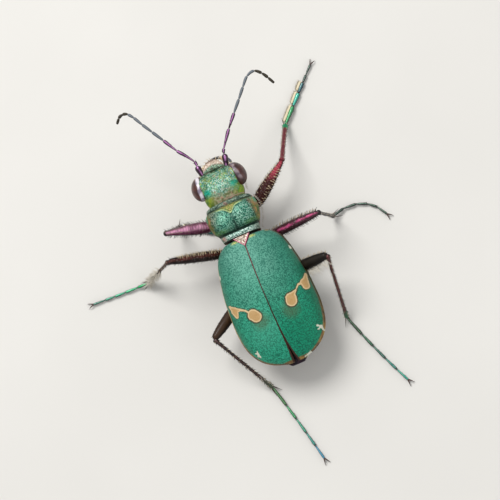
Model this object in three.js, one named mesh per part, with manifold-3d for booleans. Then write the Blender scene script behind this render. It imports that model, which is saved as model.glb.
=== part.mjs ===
// Green tiger beetle, male, standing at rest on a level floor, life size.
// Millimetres, +Z up. The head points along -Y and the beetle's left side is +X.
import * as THREE from 'three';
import { mergeVertices } from 'three/addons/utils/BufferGeometryUtils.js';
import Module from 'manifold-3d';

const wasm = await Module();
wasm.setup();

// Stance: the body is lifted off the floor, pitched head up and rolled a little to its left
const bodyLift = 3.0;
const bodyPitch = THREE.MathUtils.degToRad(4);
const bodyRoll = THREE.MathUtils.degToRad(2.5);

// Clearance between neighbouring pieces
const gap = 0.06;

// Sections of the body: points round each, and the least height of the back over the flanks' widest line
const bodySides = 24;
const leastRise = 0.02;

// Elytra: the front margin is at y = 0, the side margin at z = 0
const elytraLength = 8.1;
const elytraWall = 0.5;
const elytraWidest = 2.74;
const elytraHighest = 1.75;
const elytraHalfWidth = profile([
  [0, 1.42], [0.035, 1.84], [0.09, 2.2], [0.17, 2.44], [0.36, 2.68], [0.5, 2.74],
  [0.65, 2.72], [0.78, 2.54], [0.86, 2.26], [0.93, 1.8], [0.975, 1.22], [1, 0.62],
]);
const elytraHeight = profile([
  [0, 0.98], [0.12, 1.34], [0.3, 1.66], [0.46, 1.75], [0.7, 1.6], [0.85, 1.18], [0.95, 0.7], [1, 0.36],
]);
const domeRoundness = 0.82;
const sutureOpensAt = 0.6;
const sutureGapAtTip = 0.32;

// Scutellum, the small triangle between the elytra
const scutellumWidth = 0.9;
const scutellumLength = 0.56;
const scutellumDepth = 0.5;
const scutellumTop = 1.12;

// Prothorax
const prothoraxFront = -2.5;
const prothoraxRear = -0.15;
const prothoraxHalfWidth = profile([
  [0, 1.32], [0.08, 1.5], [0.22, 1.62], [0.4, 1.63], [0.6, 1.54], [0.8, 1.32], [0.88, 1.24], [1, 1.22],
]);
const prothoraxTop = profile([
  [0, 0.94], [0.08, 1.02], [0.16, 0.95], [0.28, 1.18], [0.48, 1.3],
  [0.68, 1.16], [0.78, 0.95], [0.88, 1.02], [1, 0.94],
]);
const prothoraxCrease = profile([[0, 0], [0.16, 0.02], [0.28, 0.1], [0.5, 0.05], [0.7, 0.06], [0.78, 0]]);
const prothoraxBottom = profile([[0, -0.62], [0.2, -0.9], [0.6, -1.0], [0.85, -0.92], [1, -0.8]]);
const prothoraxSquareness = 0.78;

// Head
const headRear = prothoraxFront - gap;
const headFront = -4.62;
const headHalfWidth = profile([
  [0, 1.16], [0.14, 1.26], [0.35, 1.3], [0.55, 1.24], [0.75, 1.14], [0.9, 0.96], [1, 0.8],
]);
const headTop = profile([[0, 0.74], [0.2, 0.94], [0.45, 1.02], [0.7, 0.86], [0.88, 0.55], [1, 0.26]]);
const headBottom = profile([[0, -0.5], [0.2, -0.82], [0.5, -0.95], [0.8, -0.86], [1, -0.6]]);
const headSquareness = 0.85;
const headCrease = profile([[0, 0], [0.4, 0], [0.62, 0.06], [0.85, 0.04], [1, 0]]);

// Eyes
const eyeCentre = new THREE.Vector3(1.2, -3.84, 0.34);
const eyeRadii = new THREE.Vector3(0.58, 0.76, 0.64);
const eyeTurn = THREE.MathUtils.degToRad(9);

// Upper lip
const labrumHalfWidth = 0.66;
const labrumLength = 0.6;
const labrumDepth = 0.42;
const labrumTilt = THREE.MathUtils.degToRad(26);
const labrumRoot = new THREE.Vector3(0, headFront - gap, 0.2);

// Mandibles and palps, given for the left side; the tips of the two mandibles pass one over the other
const mandibleRoute = [[0.62, -4.42, -0.42], [0.8, -4.88, -0.56], [0.62, -5.28, -0.66], [0.1, -5.5, -0.66]];
const mandibleRadii = [0.25, 0.24, 0.18, 0.07];
const mandibleTipDrop = 0.24;
const maxillaryPalpRoute = [
  [0.72, -4.05, -0.72], [0.98, -4.42, -1.1], [1.05, -4.9, -1.3], [0.92, -5.3, -1.5],
];
const labialPalpRoute = [[0.3, -4.1, -0.85], [0.36, -4.5, -1.2], [0.42, -4.9, -1.45], [0.34, -5.2, -1.7]];
const palpRadii = [0.22, 0.23, 0.22, 0.15];

// Antennae: scape and pedicel, third and fourth segments, fifth to seventh, and the hooked tip
const antennaRoot = [0.74, -4.42, 0.0];
const antennaRoutes = {
  left: {
    base: [[0.86, -5.02, 0.14], [0.87, -5.42, 0.22], [0.92, -5.62, 0.27]],
    shaft: [[1.26, -6.14, 0.42], [1.64, -6.64, 0.54], [2.13, -7.52, 0.68]],
    flagellum: [[2.58, -8.3, 0.77], [2.95, -8.95, 0.79], [3.27, -9.55, 0.74]],
    tip: [[3.62, -9.98, 0.62], [4.05, -10.02, 0.45], [4.42, -9.7, 0.25]],
  },
  right: {
    base: [[-0.9, -5.02, 0.14], [-0.97, -5.4, 0.22], [-1.08, -5.62, 0.27]],
    shaft: [[-1.48, -6.12, 0.42], [-1.88, -6.6, 0.54], [-2.54, -7.31, 0.69]],
    flagellum: [[-3.18, -7.99, 0.79], [-3.71, -8.59, 0.8], [-4.15, -9.05, 0.76]],
    tip: [[-4.66, -9.2, 0.66], [-5.1, -8.82, 0.52], [-5.5, -8.08, 0.26]],
  },
};
// Ends of the segments along each length, and their radii at the root, the swelling and the end
const antennaSegments = {
  base: { ends: [0, 0.74, 1], radii: [[0.2, 0.29, 0.22], [0.18, 0.25, 0.21]] },
  shaft: { ends: [0, 0.55, 1], radii: [[0.2, 0.25, 0.26], [0.2, 0.25, 0.26]] },
  flagellum: { ends: [0, 0.37, 0.7, 1], radii: [[0.21, 0.24, 0.25], [0.2, 0.24, 0.25], [0.2, 0.24, 0.24]] },
  tip: {
    ends: [0, 0.28, 0.52, 0.75, 1],
    radii: [[0.2, 0.24, 0.23], [0.19, 0.22, 0.22], [0.18, 0.2, 0.19], [0.16, 0.17, 0.1]],
  },
};
const swellingAt = 0.7;
const segmentEndAt = 0.96;

// Thorax under the elytra
const thoraxFront = prothoraxRear + gap;
const thoraxNeck = 0.14;
const thoraxRear = 3.55;
const thoraxNeckHalfWidth = 1.08;
const thoraxNeckTop = 0.72;
const thoraxDepth = profile([[0, 0.72], [0.15, 1.05], [0.45, 1.28], [0.85, 1.32], [1, 1.3]]);
const thoraxSideShare = 0.97;

// Abdomen under the elytra, its tip showing between their apices
const abdomenFront = thoraxRear + gap;
const abdomenRear = 8.3;
const abdomenDepth = profile([[0, 1.26], [0.4, 1.14], [0.7, 0.92], [0.9, 0.64], [1, 0.42]]);
const abdomenHalfWidth = profile([
  [0, 2.3], [0.35, 2.25], [0.65, 1.9], [0.85, 1.2], [0.95, 0.68], [1, 0.4],
]);
const abdomenSegments = 5;
const segmentStep = 0.03;

// Legs. Coxae are given in the body's frame for the left side, lengths in millimetres,
// directions in degrees: azimuth from +X towards +Y, elevation above level.
const legKinds = {
  fore: {
    coxa: [[0.46, -1.44, -0.74], [1.03, -1.52, -1.06]],
    femur: 3.65, tibia: 3.4, tarsus: 4.2, claw: 0.42,
    tarsomeres: [0.31, 0.22, 0.17, 0.12, 0.18],
  },
  middle: {
    coxa: [[0.46, 0.3, -0.98], [1.13, 0.28, -1.18]],
    femur: 4.05, tibia: 3.4, tarsus: 3.75, claw: 0.42,
    tarsomeres: [0.21, 0.22, 0.19, 0.17, 0.21],
  },
  hind: {
    coxa: [[0.44, 2.68, -1.08], [1.05, 2.8, -1.26]],
    femur: 3.9, tibia: 4.9, tarsus: 5.35, claw: 0.45,
    tarsomeres: [0.25, 0.19, 0.2, 0.18, 0.18],
  },
};
const legPoses = {
  fore_left: { side: 1, femur: [-9.5, 25], tibia: -136, tarsus: [148, 156] },
  fore_right: { side: -1, femur: [-143.7, 3.5], tibia: -113, tarsus: [-134, -135] },
  middle_left: { side: 1, femur: [-11, 21], tibia: 3, tarsus: [-2, -3] },
  middle_right: { side: -1, femur: [176.5, 26], tibia: 189, tarsus: [196, 120] },
  hind_left: { side: 1, femur: [35.5, 15.5], tibia: 118.5, tarsus: [104, 102] },
  hind_right: { side: -1, femur: [173.5, 34], tibia: 83, tarsus: [109, 114] },
};
const coxaRadius = 0.42;
const femurRadii = [0.25, 0.27, 0.36, 0.37, 0.32, 0.27, 0.28];
const femurStations = [0, 0.12, 0.28, 0.42, 0.66, 0.88, 1];
const tibiaRadii = [0.25, 0.25, 0.25, 0.28];
const tibiaStations = [0, 0.3, 0.75, 1];
const ankleHeight = 0.32;
const tarsomereRadii = [0.2, 0.25];
const soleHeight = 0.19;
const tarsomereNeck = 0.07;
const heelRise = 0.02;
const clawSpread = THREE.MathUtils.degToRad(24);
const clawRadii = [0.13, 0.1, 0.04];
const clawBend = 0.55;
const clawTipHeight = 0.05;
const spurLength = 0.8;
const spurRadii = [0.13, 0.09, 0.03];
const spurTurns = [-32, 34];
const spurBend = 0.6;
const spurDroop = 0.55;
const spurRootUp = 0.22;
const pointSides = 6;
const legSides = 8;

// Ends of limbs: how far they bulge, and how wide the bulge is, as shares of the end's radius
const domeHeight = 0.4;
const domeWidth = 0.68;

// Distance from the middle of the stance to the middle of the whole beetle's outline
const outlineMiddle = [0.84, 2.08];

// Finishes
const finish = (color, roughness, metalness) => {
  return new THREE.MeshStandardMaterial({ color, roughness, metalness });
};
const greenCuticle = () => finish(0x1f7f5c, 0.38, 0.55);
const copperCuticle = () => finish(0x7a4a3c, 0.36, 0.6);
const violetCuticle = () => finish(0x5c2648, 0.3, 0.65);
const blueGreenCuticle = () => finish(0x2c7a78, 0.34, 0.6);
const eyeSurface = () => finish(0x3a1a14, 0.12, 0.1);
const lipSurface = () => finish(0xd8c69a, 0.4, 0.05);
const darkCuticle = () => finish(0x2b201c, 0.35, 0.3);

// Smooth value through a few [place, value] stations
function profile(stations) {
  const last = stations.length - 1;
  const slopeAt = (i) => {
    const before = stations[Math.max(i - 1, 0)];
    const after = stations[Math.min(i + 1, last)];
    return (after[1] - before[1]) / (after[0] - before[0]);
  };
  return (place) => {
    const at = THREE.MathUtils.clamp(place, stations[0][0], stations[last][0]);
    let i = 0;
    while (i < last - 1 && at > stations[i + 1][0]) i += 1;
    const [start, from] = stations[i];
    const [end, to] = stations[i + 1];
    const span = end - start;
    const t = (at - start) / span;
    const bend = t * (1 - t) * span;
    const blend = t * t * (3 - 2 * t);
    return from + (to - from) * blend + bend * ((1 - t) * slopeAt(i) - t * slopeAt(i + 1));
  };
}

// Signed power, for rounded-square sections
function softPower(value, power) {
  return Math.sign(value) * Math.abs(value) ** power;
}

function indexed(points, index) {
  const geometry = new THREE.BufferGeometry();
  const places = points.flatMap((point) => [point.x, point.y, point.z]);
  geometry.setAttribute('position', new THREE.Float32BufferAttribute(places, 3));
  geometry.setIndex(index);
  return outward(geometry);
}

// Turns a closed surface so that its faces point out
function outward(geometry) {
  const position = geometry.attributes.position;
  const index = geometry.index.array;
  const [a, b, c] = [new THREE.Vector3(), new THREE.Vector3(), new THREE.Vector3()];
  let volume = 0;
  for (let i = 0; i < index.length; i += 3) {
    a.fromBufferAttribute(position, index[i]);
    b.fromBufferAttribute(position, index[i + 1]);
    c.fromBufferAttribute(position, index[i + 2]);
    volume += a.dot(b.cross(c));
  }
  if (volume < 0) {
    for (let i = 0; i < index.length; i += 3) [index[i], index[i + 1]] = [index[i + 1], index[i]];
  }
  return geometry;
}

// Closed skin over rings of points, its two ends closed by fans
function loft(rings) {
  const sides = rings[0].length;
  const points = rings.flat();
  const index = [];
  for (let ring = 0; ring < rings.length - 1; ring += 1) {
    for (let i = 0; i < sides; i += 1) {
      const here = ring * sides + i;
      const next = ring * sides + ((i + 1) % sides);
      index.push(here, next, here + sides, next, next + sides, here + sides);
    }
  }
  const close = (ring, reversed) => {
    const middle = new THREE.Vector3();
    rings[ring].forEach((p) => middle.addScaledVector(p, 1 / sides));
    const centre = points.push(middle) - 1;
    for (let i = 0; i < sides; i += 1) {
      const here = ring * sides + i;
      const next = ring * sides + ((i + 1) % sides);
      index.push(centre, reversed ? next : here, reversed ? here : next);
    }
  };
  close(0, true);
  close(rings.length - 1, false);
  return indexed(points, index);
}

// Closed plate between an outer and an inner grid of points
function plate(outer, inner) {
  const rows = outer.length;
  const columns = outer[0].length;
  const points = [...outer.flat(), ...inner.flat()];
  const under = rows * columns;
  const index = [];
  for (let row = 0; row < rows - 1; row += 1) {
    for (let column = 0; column < columns - 1; column += 1) {
      const a = row * columns + column;
      const [b, c, d] = [a + 1, a + columns + 1, a + columns];
      index.push(a, b, c, a, c, d);
      index.push(under + a, under + c, under + b, under + a, under + d, under + c);
    }
  }
  const rim = [];
  for (let column = 0; column < columns - 1; column += 1) rim.push(column);
  for (let row = 0; row < rows - 1; row += 1) rim.push(row * columns + columns - 1);
  for (let column = columns - 1; column > 0; column -= 1) rim.push((rows - 1) * columns + column);
  for (let row = rows - 1; row > 0; row -= 1) rim.push(row * columns);
  rim.forEach((a, i) => {
    const b = rim[(i + 1) % rim.length];
    index.push(a, under + b, b, a, under + a, under + b);
  });
  return indexed(points, index);
}

// Tapered round limb along a route, its ends slightly domed
function limb(route, radii, sides = legSides) {
  const tangents = route.map((point, i) => {
    const before = route[Math.max(i - 1, 0)];
    const after = route[Math.min(i + 1, route.length - 1)];
    return after.clone().sub(before).normalize();
  });
  const normal = new THREE.Vector3(0, 0, 1);
  if (Math.abs(tangents[0].z) > 0.9) normal.set(1, 0, 0);
  const rings = [];
  const addRing = (centre, tangent, radius) => {
    normal.addScaledVector(tangent, -normal.dot(tangent)).normalize();
    const across = tangent.clone().cross(normal);
    const ring = [];
    for (let i = 0; i < sides; i += 1) {
      const angle = (2 * Math.PI * i) / sides;
      const point = centre.clone().addScaledVector(normal, radius * Math.cos(angle));
      ring.push(point.addScaledVector(across, radius * Math.sin(angle)));
    }
    rings.push(ring);
  };
  const last = route.length - 1;
  const startDome = route[0].clone().addScaledVector(tangents[0], -domeHeight * radii[0]);
  const endDome = route[last].clone().addScaledVector(tangents[last], domeHeight * radii[last]);
  addRing(startDome, tangents[0], domeWidth * radii[0]);
  route.forEach((point, i) => addRing(point, tangents[i], radii[i]));
  addRing(endDome, tangents[last], domeWidth * radii[last]);
  return loft(rings);
}

const vectors = (points) => points.map(([x, y, z]) => new THREE.Vector3(x, y, z));
const mirrored = (points) => points.map(([x, y, z]) => [-x, y, z]);

// Limb along a smooth curve through a few points
function curvedLimb(points, radii, steps = 7, sides = legSides) {
  const curve = new THREE.CatmullRomCurve3(vectors(points));
  const radius = profile(radii.map((value, i) => [i / (radii.length - 1), value]));
  const route = [];
  const widths = [];
  for (let i = 0; i <= steps; i += 1) {
    route.push(curve.getPoint(i / steps));
    widths.push(radius(i / steps));
  }
  return limb(route, widths, sides);
}

// Limb of several segments, each narrow at its root and swelling towards its end
function segmentedLimb(points, { ends, radii }, clearance = 0) {
  const curve = new THREE.CatmullRomCurve3(vectors(points));
  const route = [];
  const widths = [];
  radii.forEach(([root, swelling, end], i) => {
    const place = (share) => curve.getPoint(THREE.MathUtils.lerp(ends[i], ends[i + 1], share));
    route.push(place(0), place(swellingAt), place(segmentEndAt));
    widths.push(root + clearance, swelling + clearance, end + clearance);
  });
  route.push(curve.getPoint(1));
  widths.push(widths[widths.length - 1] * domeWidth);
  return limb(route, widths);
}

function swollen(radii) {
  return radii.map((radius) => radius + gap);
}

function direction(azimuth, elevation = 0) {
  const [a, e] = [THREE.MathUtils.degToRad(azimuth), THREE.MathUtils.degToRad(elevation)];
  return new THREE.Vector3(Math.cos(a) * Math.cos(e), Math.sin(a) * Math.cos(e), Math.sin(e));
}

function solid(geometry) {
  const bare = new THREE.BufferGeometry();
  bare.setAttribute('position', geometry.attributes.position.clone());
  bare.setIndex(geometry.index);
  const merged = mergeVertices(bare, 1e-4);
  const vertProperties = new Float32Array(merged.attributes.position.array);
  const triVerts = new Uint32Array(merged.index.array);
  return new wasm.Manifold(new wasm.Mesh({ numProp: 3, vertProperties, triVerts }));
}

// Largest closed body of a solid, as geometry
function largest(whole) {
  const bodies = whole.decompose().sort((a, b) => b.volume() - a.volume());
  const mesh = bodies[0].getMesh();
  const geometry = new THREE.BufferGeometry();
  geometry.setAttribute('position', new THREE.Float32BufferAttribute(mesh.vertProperties, 3));
  geometry.setIndex(Array.from(mesh.triVerts));
  return geometry;
}

function fuse(pieces) {
  return largest(pieces.map(solid).reduce((whole, piece) => whole.add(piece)));
}

function carve(piece, cutters) {
  return largest(cutters.map(solid).reduce((whole, cutter) => whole.subtract(cutter), solid(piece)));
}

// Adds a named piece whose geometry is given in its parent's frame, turning about its pivot
function addPiece(parent, name, geometry, material, pivot = new THREE.Vector3()) {
  const placed = geometry.clone().translate(-pivot.x, -pivot.y, -pivot.z);
  placed.computeVertexNormals();
  const mesh = new THREE.Mesh(placed, material);
  mesh.name = name;
  mesh.position.copy(pivot);
  parent.add(mesh);
  return mesh;
}

// Elytra
function elytronShell(side) {
  const rows = 22;
  const columns = 9;
  const outer = [];
  const inner = [];
  const wallShare = (size) => (size - elytraWall) / size;
  for (let row = 0; row <= rows; row += 1) {
    const u = 0.5 - 0.5 * Math.cos((Math.PI * row) / rows);
    const halfWidth = elytraHalfWidth(u);
    const height = elytraHeight(u);
    const opening = Math.max(0, (u - sutureOpensAt) / (1 - sutureOpensAt));
    const suture = gap / 2 + (sutureGapAtTip / 2) * opening ** 1.4;
    const edge = (column, wall, lift, reach) => {
      const angle = (Math.PI / 2) * (column / columns);
      const x = suture + (halfWidth * wall - suture) * Math.sin(angle);
      const z = height * lift * Math.cos(angle) ** domeRoundness;
      return new THREE.Vector3(side * x, elytraLength * u * reach, z);
    };
    const line = Array.from({ length: columns + 1 }, (_, column) => column);
    outer.push(line.map((column) => edge(column, 1, 1, 1)));
    inner.push(line.map((column) => (
      edge(column, wallShare(elytraWidest), wallShare(elytraHighest), wallShare(elytraLength))
    )));
  }
  return plate(outer, inner);
}

// Height of the free space under the elytra at a distance behind their front margin
function roomUnderElytra(y) {
  const u = THREE.MathUtils.clamp(y / (elytraLength - elytraWall), 0, 1);
  return {
    width: elytraHalfWidth(u) * (1 - elytraWall / elytraWidest) - gap,
    height: elytraHeight(u) * (1 - elytraWall / elytraHighest) - gap,
  };
}

function scutellumWedge(clearance) {
  const half = scutellumWidth / 2 + clearance * 1.6;
  const front = -clearance;
  const back = scutellumLength + clearance * 1.6;
  const top = scutellumTop + 2 * clearance;
  const bottom = scutellumTop - scutellumDepth - clearance;
  const corners = (z) => [[-half, front, z - 0.1], [half, front, z - 0.1], [0, back, z]];
  return loft([vectors(corners(bottom)), vectors(corners(top))]);
}

// Ring of a body section with its own top, bottom and width, and a crease along the middle of its back
function section(y, halfWidth, top, bottom, squareness, crease = 0) {
  const middle = Math.min(0, top - leastRise);
  const ring = [];
  for (let i = 0; i < bodySides; i += 1) {
    const angle = (2 * Math.PI * i) / bodySides;
    const rise = Math.sin(angle);
    const x = halfWidth * softPower(Math.cos(angle), squareness);
    const z = middle + (rise > 0 ? top - middle : middle - bottom) * softPower(rise, squareness);
    ring.push(new THREE.Vector3(x, y, i === bodySides / 4 ? z - crease : z));
  }
  return ring;
}

function prothoraxForm() {
  const steps = 18;
  const rings = [];
  for (let i = 0; i <= steps; i += 1) {
    const t = i / steps;
    const y = THREE.MathUtils.lerp(prothoraxFront, prothoraxRear, t);
    const crease = prothoraxCrease(t);
    const sizes = [prothoraxHalfWidth(t), prothoraxTop(t), prothoraxBottom(t)];
    rings.push(section(y, ...sizes, prothoraxSquareness, crease));
  }
  return loft(rings);
}

function headForm() {
  const steps = 13;
  const rings = [];
  for (let i = 0; i <= steps; i += 1) {
    const t = i / steps;
    const y = THREE.MathUtils.lerp(headRear, headFront, t);
    rings.push(section(y, headHalfWidth(t), headTop(t), headBottom(t), headSquareness, headCrease(t)));
  }
  return loft(rings);
}

function thoraxForm() {
  const rings = [];
  const neckDepth = thoraxDepth(0);
  [thoraxFront, gap].forEach((y) => {
    rings.push(section(y, thoraxNeckHalfWidth, thoraxNeckTop, -neckDepth, headSquareness));
  });
  const steps = 10;
  for (let i = 0; i <= steps; i += 1) {
    const t = i / steps;
    const y = THREE.MathUtils.lerp(thoraxNeck, thoraxRear, t);
    const room = roomUnderElytra(y);
    rings.push(section(y, room.width * thoraxSideShare, room.height - gap, -thoraxDepth(t), domeRoundness));
  }
  return loft(rings);
}

function abdomenForm() {
  const rings = [];
  const perSegment = 3;
  const steps = abdomenSegments * perSegment;
  for (let i = 0; i <= steps; i += 1) {
    const t = i / steps;
    const y = THREE.MathUtils.lerp(abdomenFront, abdomenRear, t);
    const room = roomUnderElytra(y);
    const underTip = y > elytraLength - elytraWall - 0.35;
    const top = underTip ? -gap : room.height - gap;
    const width = Math.min(abdomenHalfWidth(t), underTip ? Infinity : room.width);
    const within = (i % perSegment) / perSegment;
    const depth = abdomenDepth(t) + segmentStep * (1 - 2 * within);
    rings.push(section(y, width, top, -depth, domeRoundness));
  }
  return loft(rings);
}

function eyeBall(side, clearance) {
  const ball = mergeVertices(bareSphere(18, 12));
  ball.scale(eyeRadii.x + clearance, eyeRadii.y + clearance, eyeRadii.z + clearance);
  ball.rotateZ(-side * eyeTurn);
  return ball;
}

function bareSphere(around, down) {
  const sphere = new THREE.SphereGeometry(1, around, down);
  sphere.deleteAttribute('normal');
  sphere.deleteAttribute('uv');
  return sphere;
}

function labrumForm(clearance) {
  const half = labrumHalfWidth + clearance;
  const front = labrumLength + clearance;
  const outline = new THREE.Shape();
  outline.moveTo(-half * 0.92, -clearance);
  outline.lineTo(half * 0.92, -clearance);
  outline.quadraticCurveTo(half * 1.06, front * 0.45, half * 0.86, front * 0.72);
  outline.quadraticCurveTo(half * 0.45, front, half * 0.13, front * 0.94);
  outline.lineTo(0, front * 1.04);
  outline.lineTo(-half * 0.13, front * 0.94);
  outline.quadraticCurveTo(-half * 0.45, front, -half * 0.86, front * 0.72);
  outline.quadraticCurveTo(-half * 1.06, front * 0.45, -half * 0.92, -clearance);
  const depth = labrumDepth + 2 * clearance;
  const form = new THREE.ExtrudeGeometry(outline, { depth, bevelEnabled: false, curveSegments: 5 });
  form.translate(0, 0, clearance - depth);
  form.deleteAttribute('normal');
  form.deleteAttribute('uv');
  form.rotateZ(Math.PI);
  form.rotateX(labrumTilt);
  form.translate(labrumRoot.x, labrumRoot.y, labrumRoot.z);
  return mergeVertices(form);
}

const beetle = new THREE.Group();
const body = new THREE.Group();
body.rotation.set(-bodyPitch, bodyRoll, 0);
body.position.z = bodyLift;
beetle.add(body);
body.updateMatrixWorld(true);
const toBody = body.matrixWorld.clone().invert();

// Legs, built in the level frame; what touches the floor is cut flat there
const bodyCutters = [];

function flatOnFloor(geometry) {
  const position = geometry.attributes.position;
  for (let i = 0; i < position.count; i += 1) {
    if (position.getZ(i) < 0) position.setZ(i, 0);
  }
  return geometry;
}

function lengthwise(start, end, stations) {
  return stations.map((share) => start.clone().lerp(end, share));
}

function tarsusForm(ankle, kind, [firstAzimuth, lastAzimuth]) {
  const route = [ankle.clone()];
  const radii = [tarsomereRadii[0]];
  const foot = ankle.clone();
  const count = kind.tarsomeres.length;
  kind.tarsomeres.forEach((share, i) => {
    const azimuth = THREE.MathUtils.lerp(firstAzimuth, lastAzimuth, i / (count - 1));
    const step = direction(azimuth).multiplyScalar(kind.tarsus * share);
    const wide = foot.clone().addScaledVector(step, 1 - tarsomereNeck);
    foot.add(step);
    wide.z = soleHeight + heelRise;
    foot.z = soleHeight;
    route.push(wide, foot.clone());
    radii.push(tarsomereRadii[1], tarsomereRadii[0]);
  });
  const claws = [-1, 1].map((turn) => {
    const way = direction(lastAzimuth).applyAxisAngle(new THREE.Vector3(0, 0, 1), turn * clawSpread);
    const root = foot.clone().addScaledVector(way, -clawRadii[0]);
    const bend = foot.clone().addScaledVector(way, kind.claw * clawBend);
    const end = foot.clone().addScaledVector(way, kind.claw);
    end.z = clawTipHeight;
    return limb([root, bend, end], clawRadii, pointSides);
  });
  return flatOnFloor(fuse([limb(route, radii), ...claws]));
}

function tibiaForm(knee, ankle, radii, spurAzimuth) {
  const shaft = limb(lengthwise(knee, ankle, tibiaStations), radii);
  const down = ankle.clone().sub(knee).normalize();
  const spurs = spurTurns.map((turn) => {
    const way = direction(spurAzimuth + turn).addScaledVector(down, spurDroop).normalize();
    const root = ankle.clone().addScaledVector(down, -spurRootUp);
    const bend = root.clone().addScaledVector(way, spurLength * spurBend);
    const end = root.clone().addScaledVector(way, spurLength);
    bend.z = Math.max(bend.z, spurRadii[0]);
    end.z = Math.max(end.z, spurRadii[2] * 2);
    return limb([root, bend, end], spurRadii, pointSides);
  });
  return fuse([shaft, ...spurs]);
}

function addLeg(name, pose) {
  const kind = legKinds[name.split('_')[0]];
  const [inner, outer] = vectors(pose.side > 0 ? kind.coxa : mirrored(kind.coxa));
  inner.applyMatrix4(body.matrixWorld);
  outer.applyMatrix4(body.matrixWorld);
  const knee = outer.clone().addScaledVector(direction(...pose.femur), kind.femur);
  const fall = Math.asin((knee.z - ankleHeight) / kind.tibia);
  const downward = direction(pose.tibia, -THREE.MathUtils.radToDeg(fall));
  const ankle = knee.clone().addScaledVector(downward, kind.tibia);

  const coxaRoute = lengthwise(inner, outer, [0, 0.5, 1]);
  const coxaWidths = [coxaRadius, coxaRadius, coxaRadius * 0.8];
  const femurRoute = lengthwise(outer, knee, femurStations);
  const swollenCoxa = limb(coxaRoute, swollen(coxaWidths));
  const swollenFemur = limb(femurRoute, swollen(femurRadii));
  const swollenTibia = limb(lengthwise(knee, ankle, tibiaStations), swollen(tibiaRadii));
  bodyCutters.push(swollenCoxa.clone().applyMatrix4(toBody), swollenFemur.clone().applyMatrix4(toBody));

  const leg = new THREE.Group();
  leg.position.copy(outer);
  beetle.add(leg);
  const local = (geometry) => geometry.translate(-outer.x, -outer.y, -outer.z);
  const kneePivot = knee.clone().sub(outer);
  const anklePivot = ankle.clone().sub(outer);
  const femur = carve(limb(femurRoute, femurRadii), [swollenCoxa]);
  const tibia = carve(tibiaForm(knee, ankle, tibiaRadii, pose.tarsus[0]), [swollenFemur]);
  const tarsus = carve(tarsusForm(ankle, kind, pose.tarsus), [swollenTibia]);
  addPiece(leg, `${name}_coxa`, local(limb(coxaRoute, coxaWidths)), copperCuticle());
  addPiece(leg, `${name}_femur`, local(femur), violetCuticle());
  addPiece(leg, `${name}_tibia`, local(tibia), copperCuticle(), kneePivot);
  addPiece(leg, `${name}_tarsus`, local(tarsus), blueGreenCuticle(), anklePivot);
}

Object.entries(legPoses).forEach(([name, pose]) => addLeg(name, pose));

// Head, with sockets for what it carries
const head = new THREE.Group();
const headPivot = new THREE.Vector3(0, headRear, 0);
head.position.copy(headPivot);
body.add(head);
const inHead = (geometry) => geometry.clone().translate(-headPivot.x, -headPivot.y, -headPivot.z);
const headCutters = [];

Object.entries({ left: 1, right: -1 }).forEach(([name, side]) => {
  const sided = (points) => (side > 0 ? points : mirrored(points));
  const eyePlace = eyeCentre.clone().multiply(new THREE.Vector3(side, 1, 1));
  const eye = addPiece(head, `eye_${name}`, eyeBall(side, 0), eyeSurface());
  eye.position.copy(eyePlace).sub(headPivot);
  headCutters.push(eyeBall(side, gap).translate(eyePlace.x, eyePlace.y, eyePlace.z));

  const mandible = sided(mandibleRoute).map(([x, y, z], i) => {
    const drop = side < 0 ? (mandibleTipDrop * i) / (mandibleRoute.length - 1) : 0;
    return [x, y, z - drop];
  });
  addPiece(head, `mandible_${name}`, inHead(curvedLimb(mandible, mandibleRadii, 7)), darkCuticle());
  headCutters.push(curvedLimb(mandible, swollen(mandibleRadii), 7));

  Object.entries({ maxillary: maxillaryPalpRoute, labial: labialPalpRoute }).forEach(([palp, route]) => {
    const form = inHead(curvedLimb(sided(route), palpRadii, 6, 7));
    addPiece(head, `${palp}_palp_${name}`, form, darkCuticle());
    headCutters.push(curvedLimb(sided(route), swollen(palpRadii), 6, 7));
  });

  let start = side > 0 ? antennaRoot : [-antennaRoot[0], antennaRoot[1], antennaRoot[2]];
  let before = eyeBall(side, gap).translate(eyePlace.x, eyePlace.y, eyePlace.z);
  Object.entries(antennaRoutes[name]).forEach(([length, points]) => {
    const route = [start, ...points];
    const form = carve(segmentedLimb(route, antennaSegments[length]), [before]);
    const metal = length === 'base' || length === 'shaft' ? violetCuticle() : darkCuticle();
    addPiece(head, `antenna_${name}_${length}`, inHead(form), metal);
    before = segmentedLimb(route, antennaSegments[length], gap);
    if (length === 'base') headCutters.push(before);
    start = points[points.length - 1];
  });
});

headCutters.push(labrumForm(gap));
addPiece(head, 'labrum', inHead(labrumForm(0)), lipSurface());
addPiece(head, 'head', inHead(carve(headForm(), headCutters)), greenCuticle());

// Trunk
addPiece(body, 'prothorax', carve(prothoraxForm(), bodyCutters), greenCuticle());
addPiece(body, 'scutellum', scutellumWedge(0), copperCuticle());
addPiece(body, 'elytron_left', carve(elytronShell(1), [scutellumWedge(gap)]), greenCuticle());
addPiece(body, 'elytron_right', carve(elytronShell(-1), [scutellumWedge(gap)]), greenCuticle());
addPiece(body, 'thorax', carve(thoraxForm(), [scutellumWedge(gap), ...bodyCutters]), copperCuticle());
addPiece(body, 'abdomen', carve(abdomenForm(), bodyCutters), copperCuticle());

beetle.position.set(-outlineMiddle[0], -outlineMiddle[1], 0);

export default beetle;
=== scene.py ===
import math

import bmesh
import bpy
import numpy as np
from mathutils import Matrix, Vector
from mathutils.kdtree import KDTree


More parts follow.
